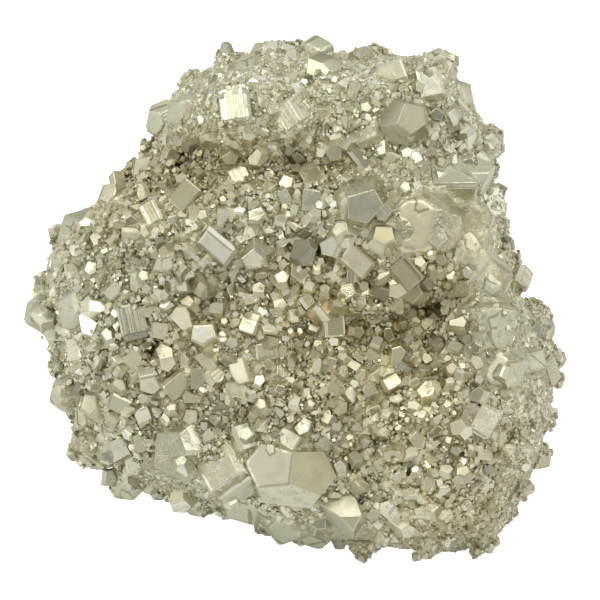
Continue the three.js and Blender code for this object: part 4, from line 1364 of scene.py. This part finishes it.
class PYRITE_OT_large_crystals(bpy.types.Operator):
    """Models the larger crystals one by one, with growth layers and lines on their facets"""

    bl_idname = "pyrite.large_crystals"
    bl_label = "Large crystals"

    def execute(self, context):
        random = np.random.default_rng(context.scene.pyrite_sizes.seed)
        sharp = [crystal for crystal in LISTED if not crystal.rounded]
        forms = [self.model(crystal, random) for crystal in sharp]
        places = np.array([crystal.place for crystal in sharp])
        count = len(sharp)
        frost = pick_some(random, count, 0.4, 0.8, 0.08)
        lines = pick_some(random, count, 0.35, 0.9, 0.08)
        painted_brightness, frost, lines = own_finishes(sharp, frost, lines)
        crystals = Crystals(
            places, np.array([crystal.radius for crystal in sharp], float),
            np.array([crystal.outward for crystal in sharp]),
            np.array([crystal.turn for crystal in sharp]),
            stretch=np.ones((count, 3)),
            form=np.arange(count),
            # The painted brightness stands in for how brightly each crystal catches the light
            tint=pick_tints(random, to_face(places)) * painted_brightness[:, None],
            gloss=np.clip(random.normal(0.26, 0.05, count), 0.14, 0.4),
            frost=frost,
            lines=lines,
        )
        piece = join_crystals("large_crystals", forms, crystals, random)
        finish_piece(piece, facet_material("large facets", 2.6, 0.25, 0.00005))
        return {"FINISHED"}

    def model(self, crystal, random):
        """Cuts one crystal, wears its edges and grows thin layers and ribs on facets that are seen."""
        piece = cut_crystal(crystal.worn_planes)
        round_edges(EDGE_WEAR / crystal.radius + LEAST_WEAR)
        seen = Vector(crystal.turn.T @ crystal.towards)
        for _ in range(3 if crystal.radius > 3 else 1):
            aside = Vector(random.normal(size=3) * 0.8)
            step_back = random.uniform(*LAYER_STEPS) * min(1, 3 / crystal.radius)
            height = random.uniform(0.15, 0.4) * step_back
            if select_facet(piece, seen + aside):
                bpy.ops.mesh.inset(thickness=step_back, depth=height)
        ribbed = RIBBED.get(crystal.mark)
        count = random.choice((0, 0, 1, 1))
        for _ in range(count if ribbed is None else int(ribbed)):
            aside = Vector(random.normal(size=3) * (0.0 if ribbed else 0.6))
            widths = random.uniform(*RIB_WIDTHS, MOST_RIBS) / crystal.radius
            cut_growth_lines(piece, seen + aside, widths, random.uniform(*RIB_HEIGHTS) / crystal.radius)
        return Form(piece)


class PYRITE_OT_smooth_masses(bpy.types.Operator):
    """Models the rounded crystals that grew together: the bulge, the flank below it and the rims' lumps"""

    bl_idname = "pyrite.smooth_masses"
    bl_label = "Smooth masses"

    def execute(self, context):
        rounded = [crystal for crystal in LISTED if crystal.rounded]
        parts = [self.model(crystal, index) for index, crystal in enumerate(rounded)]
        deselect_all()
        for part in parts:
            part.select_set(True)
        context.view_layer.objects.active = parts[0]
        bpy.ops.object.join()
        piece = context.object
        piece.name = "smooth_masses"
        grain = context.scene.pyrite_sizes.bulge_grain
        apply_modifier(piece, "One surface", "REMESH", mode="VOXEL", voxel_size=grain)
        apply_modifier(piece, "Soften", "SMOOTH", factor=0.5, iterations=3)
        displace(piece, "Ripples", "CLOUDS", 0.003, 0.0001)
        flatten_foot(piece)
        write_values(piece.data, "warmth", patch_share(WARM, to_face(read_corners(piece.data) / MM)))
        bpy.ops.object.shade_smooth_by_angle(angle=math.radians(24))
        finish_piece(piece, smooth_material("smooth masses"))
        return {"FINISHED"}

    def model(self, crystal, index):
        """One rounded crystal, with soft facets cut at many angles, at its place."""
        numbers = number_stream(900 + index)
        planes = list(crystal.worn_planes)
        for _ in range(16 if crystal.radius > 5 else 9):
            direction = Vector([2 * next(numbers) - 1 for _ in range(3)]).normalized()
            reach = min(
                distance / max(normal.dot(direction), 1e-3) for normal, distance in crystal.worn_planes
            )
            planes.append((direction, reach * (0.88 + 0.08 * next(numbers))))
        piece = cut_crystal(planes)
        bpy.ops.object.mode_set(mode="OBJECT")
        place = Matrix.Translation(Vector(crystal.place) * MM)
        size = Matrix.Scale(crystal.radius * MM, 4)
        piece.matrix_world = place @ Matrix(crystal.turn).to_4x4() @ size
        bpy.ops.object.transform_apply(location=True, rotation=True, scale=True)
        return piece


class PYRITE_OT_marked_crystals(bpy.types.Operator):
    """Sets the medium crystals that stand out at their places, facing the light or away from it"""

    bl_idname = "pyrite.marked_crystals"
    bl_label = "Marked crystals"

    def execute(self, context):
        random = np.random.default_rng(context.scene.pyrite_sizes.seed + 6)
        forms = small_forms(WORN_EDGE)
        surface = solid_surface()
        rows, right, up, tint = [], [], [], []
        for places, right_range, up_range, painted_brightness in MARKS:
            rows += places
            right.append(random.uniform(*right_range, len(places)))
            up.append(random.uniform(*up_range, len(places)))
            # Painted brightness: the dark marks are painted in shade
            tint.append(np.full(len(places), painted_brightness))
        count = len(rows)
        slopes = (np.tan(np.radians(np.concatenate(lean))) for lean in (right, up))
        towards = unit_rows(np.stack((*slopes, np.ones(count)), 1) @ FACE_AXES)
        radii = np.array([radius for _, _, radius in rows], float)
        points, outward = (np.array(found) for found in zip(*(place_on(surface, a, b) for a, b, _ in rows)))
        out = 0.3 + 0.22 * radii
        sunk = 0.45 * radii * (1 - np.clip(outward @ OUT / 0.6, 0, 1))
        places = points - towards * (0.8 * radii - out)[:, None] - outward * sunk[:, None]
        form = np.where(radii > 3, CUT_CUBE_FORM, random.choice(PYRITOHEDRAL_FORMS, count))
        leading = np.array([made.leading for made in forms])[form]
        tints = pick_tints(random, to_face(places))
        crystals = Crystals(
            places, radii, outward, facing_turns(random, leading, towards),
            stretch=random.uniform(0.8, 1.2, (count, 3)),
            form=form,
            tint=tints * np.concatenate(tint)[:, None],
            gloss=np.clip(random.normal(0.27, 0.05, count), 0.14, 0.4),
            frost=pick_some(random, count, 0.5, 1.0, 0.2),
            lines=pick_some(random, count, 0.45, 1.0, 0.25),
        )
        placed.append((places, radii, 0.62))
        piece = join_crystals("marked_crystals", forms, crystals, random)
        finish_piece(piece, facet_material("marked facets", 3.2, 0.22, 0.00005))
        return {"FINISHED"}


class PYRITE_OT_medium_crystals(bpy.types.Operator):
    """Scatters medium crystals with slightly worn edges over the crystal face"""

    bl_idname = "pyrite.medium_crystals"
    bl_label = "Medium crystals"

    def execute(self, context):
        def share(on_face, outward):
            fewer = np.maximum(patch_share(GRANULAR, on_face), 0.7 * patch_share(SMOOTH, on_face))
            open_hollows = away_from_pits(on_face) * (1 - 0.9 * patch_share(HOLLOW, on_face))
            here = np.clip(0.45 + 0.55 * patch_share(COARSE, on_face) - 0.75 * fewer, 0.003, 1)
            return front_share(on_face) * open_hollows * off_rim(outward) * here

        scatter_piece(
            "medium_crystals", 1, small_forms(WORN_EDGE), MIXED_KINDS,
            context.scene.pyrite_sizes.medium_radius, share, ("medium facets", 3.4, 0.3, 0.00005),
            count=14000, power=1.0, spacing=0.52, embedded=(0.48, 0.8), facing=0.75, tilt=0.26,
            parallel=0.3, clearance=0.45, overgrowth=0.0, crowding=0.62,
        )
        return {"FINISHED"}


class PYRITE_OT_small_crystals(bpy.types.Operator):
    """Fills the crystal face with small crystals"""

    bl_idname = "pyrite.small_crystals"
    bl_label = "Small crystals"

    def execute(self, context):
        def share(on_face, outward):
            open_hollows = away_from_pits(on_face) * (1 - 0.8 * patch_share(HOLLOW, on_face))
            here = (1 - 0.92 * patch_share(SMOOTH, on_face)) * (1 - 0.88 * patch_share(GRANULAR, on_face))
            return front_share(on_face) * open_hollows * off_rim(outward) * here

        scatter_piece(
            "small_crystals", 2, small_forms(0), MIXED_KINDS, context.scene.pyrite_sizes.small_radius, share,
            ("small facets", 4.5, 0.35, 0.00006), count=50000, power=1.3, spacing=0.5, embedded=(0.36, 0.74),
            facing=0.6, tilt=0.32, parallel=0.35, clearance=0.35, overgrowth=0.2, crowding=0.56,
        )
        return {"FINISHED"}


class PYRITE_OT_fine_crystals(bpy.types.Operator):
    """Fills the gaps and the granular stretches with fine crystals"""

    bl_idname = "pyrite.fine_crystals"
    bl_label = "Fine crystals"

    def execute(self, context):
        kinds = (5, 5, 5, 5, 5, 2, 2, 2, 2, 2, 6, 9)

        def share(on_face, outward):
            here = 0.22 + 0.2 * patch_share(GRANULAR, on_face) - 0.2 * patch_share(SMOOTH, on_face)
            return front_share(on_face) * np.clip(here, 0.02, 1)

        scatter_piece(
            "fine_crystals", 3, small_forms(0), kinds, context.scene.pyrite_sizes.fine_radius, share,
            ("fine facets", 6.0, 0.35, 0.00004), count=60000, power=1.2, spacing=0.54, embedded=(0.3, 0.7),
            facing=0.4, tilt=0.4, parallel=0.3, clearance=0.3, overgrowth=0.25, crowding=0.52,
        )
        return {"FINISHED"}


class PYRITE_OT_sugar_grains(bpy.types.Operator):
    """Covers the granular stretches with sugar-like grains that stand out only a little"""

    bl_idname = "pyrite.sugar_grains"
    bl_label = "Sugar grains"

    def execute(self, context):
        forms = small_forms(0, GRAIN_HABITS)

        def share(on_face, outward):
            return front_share(on_face) * np.clip(1.3 * patch_share(GRANULAR, on_face) - 0.3, 0, 1)

        scatter_piece(
            "sugar_grains", 7, forms, (1,) * len(forms), context.scene.pyrite_sizes.sugar_radius, share,
            ("sugar facets", 8.0, 0.2, 0.00003), dulling=0.14, count=150000, power=1.3, spacing=0.5,
            embedded=(0.3, 0.62), facing=0.6, tilt=0.3, parallel=0.2, clearance=0.1, overgrowth=0.9,
            crowding=0.5,
        )
        return {"FINISHED"}


class PYRITE_OT_crust_grains(bpy.types.Operator):
    """Dusts the gaps, the granular stretches and parts of the larger crystals with tiny grains"""

    bl_idname = "pyrite.crust_grains"
    bl_label = "Crust grains"

    def execute(self, context):
        forms = small_forms(0, GRAIN_HABITS)

        def share(on_face, outward):
            fewer = 0.15 * patch_share(GRANULAR, on_face)
            here = np.clip(0.32 - fewer - 0.26 * patch_share(SMOOTH, on_face), 0.05, 1)
            return front_share(on_face) * here

        scatter_piece(
            "crust_grains", 5, forms, (1,) * len(forms), context.scene.pyrite_sizes.crust_radius, share,
            ("crust facets", 8.0, 0.3, 0.00003), count=120000, power=1.0, spacing=0.6, embedded=(0.25, 0.6),
            facing=0.2, tilt=0.4, parallel=0.2, clearance=0.2, overgrowth=0.3, crowding=0.52,
        )
        return {"FINISHED"}


class PYRITE_OT_back_grains(bpy.types.Operator):
    """Scatters coarse grains that stand a little out of the broken back"""

    bl_idname = "pyrite.back_grains"
    bl_label = "Back grains"

    def execute(self, context):
        kinds = (3, 3, 3, 3, 3, 2, 2, 2, 4, 4, 6, 9)

        def share(on_face, outward):
            return (1 - front_share(on_face)) * 0.8

        scatter_piece(
            "back_grains", 4, small_forms(0), kinds, context.scene.pyrite_sizes.grain_radius, share,
            ("back facets", 3.0, 0.7, 0.00005), count=30000, power=1.7, spacing=0.55, embedded=(0.5, 0.85),
            facing=0.3, tilt=0.4, parallel=0.3, clearance=0.3, overgrowth=0.0, crowding=0.52,
        )
        return {"FINISHED"}


class PYRITE_OT_stage(bpy.types.Operator):
    """Sets up the camera, the pale floor and the soft light"""

    bl_idname = "pyrite.stage"
    bl_label = "Stage"

    def execute(self, context):
        self.camera(context)
        self.floor(context)
        self.light(context)
        context.scene.view_settings.view_transform = "Standard"
        return {"FINISHED"}

    def camera(self, context):
        """Looks straight at the crystal face, as the photograph does."""
        data = bpy.data.cameras.new("Camera")
        data.sensor_width = 36
        data.lens = data.sensor_width * CAMERA_DISTANCE / VIEW_WIDTH
        camera = bpy.data.objects.new("Camera", data)
        context.scene.collection.objects.link(camera)
        turn = Matrix((ACROSS, UP, OUT)).transposed()
        place = FACE_MIDDLE * MM + OUT * CAMERA_DISTANCE
        camera.matrix_world = Matrix.Translation(Vector(place)) @ turn.to_4x4()
        context.scene.camera = camera

    def floor(self, context):
        deselect_all()
        bpy.ops.mesh.primitive_plane_add(size=6, location=(0, 0, 0))
        floor = context.object
        floor.name = "floor"
        material = bpy.data.materials.new("pale floor")
        material.use_nodes = True
        nodes = Nodes(material.node_tree)
        seen = nodes.add("LightPath").outputs["Is Camera Ray"]
        nodes.feed(material.node_tree.nodes["Principled BSDF"], {
            "Base Color": shaded(context.scene.pyrite_colours.floor),
            "Roughness": 0.9,
            "Specular IOR Level": 0.0,
            "Emission Color": (1, 1, 1, 1),
            "Emission Strength": nodes.maths("ADD", seen, 0.14),
        })
        floor.data.materials.append(material)

    def light(self, context):
        """A white tent round the object, with soft boxes beside and over the camera."""
        world = bpy.data.worlds.new("Tent")
        context.scene.world = world
        world.use_nodes = True
        world.node_tree.nodes.clear()
        nodes = Nodes(world.node_tree)
        direction = nodes.add("TexCoord").outputs["Generated"]
        level = nodes.remap(nodes.noise(direction, 2.2), 0.38, 0.62, *TENT_LEVELS)
        for towards, radius, strength in SOFT_BOXES:
            towards = np.array(towards) @ FACE_AXES
            towards = towards / np.linalg.norm(towards)
            facing = nodes.add("VectorMath", {0: direction, 1: towards}, operation="DOT_PRODUCT")
            edge = math.cos(radius * 1.25), math.cos(radius * 0.8)
            level = nodes.maths("ADD", level, nodes.remap(facing.outputs["Value"], *edge, 0.0, strength))
        light = nodes.add("Background", {"Strength": level, "Color": (*LIGHT_COLOUR, 1)})
        plain = nodes.add("Background", {"Strength": 1.0, "Color": (1, 1, 1, 1)})
        seen = nodes.add("LightPath").outputs["Is Camera Ray"]
        mixed = nodes.add("MixShader", {0: seen, 1: light.outputs[0], 2: plain.outputs[0]})
        nodes.add("OutputWorld", {"Surface": mixed.outputs[0]})


class PYRITE_PT_panel(bpy.types.Panel):
    """Lists the steps that build the cluster"""

    bl_idname = "PYRITE_PT_panel"
    bl_label = "Raw pyrite"
    bl_space_type = "VIEW_3D"
    bl_region_type = "UI"
    bl_category = "Pyrite"

    def draw(self, context):
        for name in PyriteSizes.__annotations__:
            self.layout.prop(context.scene.pyrite_sizes, name)
        for name in PyriteColours.__annotations__:
            self.layout.prop(context.scene.pyrite_colours, name)
        for operator in OPERATORS:
            self.layout.operator(operator.bl_idname)


OPERATORS = (
    PYRITE_OT_massive,
    PYRITE_OT_large_crystals,
    PYRITE_OT_smooth_masses,
    PYRITE_OT_marked_crystals,
    PYRITE_OT_medium_crystals,
    PYRITE_OT_small_crystals,
    PYRITE_OT_fine_crystals,
    PYRITE_OT_sugar_grains,
    PYRITE_OT_crust_grains,
    PYRITE_OT_back_grains,
    PYRITE_OT_stage,
)
CLASSES = (PyriteSizes, PyriteColours, *OPERATORS, PYRITE_PT_panel)


def register():
    for made in CLASSES:
        bpy.utils.register_class(made)
    bpy.types.Scene.pyrite_sizes = PointerProperty(type=PyriteSizes)
    bpy.types.Scene.pyrite_colours = PointerProperty(type=PyriteColours)


def unregister():
    del bpy.types.Scene.pyrite_colours
    del bpy.types.Scene.pyrite_sizes
    for made in reversed(CLASSES):
        bpy.utils.unregister_class(made)


def main():
    register()
    bpy.ops.pyrite.massive()
    bpy.ops.pyrite.large_crystals()
    bpy.ops.pyrite.smooth_masses()
    bpy.ops.pyrite.marked_crystals()
    bpy.ops.pyrite.medium_crystals()
    bpy.ops.pyrite.small_crystals()
    bpy.ops.pyrite.fine_crystals()
    bpy.ops.pyrite.sugar_grains()
    bpy.ops.pyrite.crust_grains()
    bpy.ops.pyrite.back_grains()
    bpy.ops.pyrite.stage()
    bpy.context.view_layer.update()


if __name__ == "__main__":
    main()
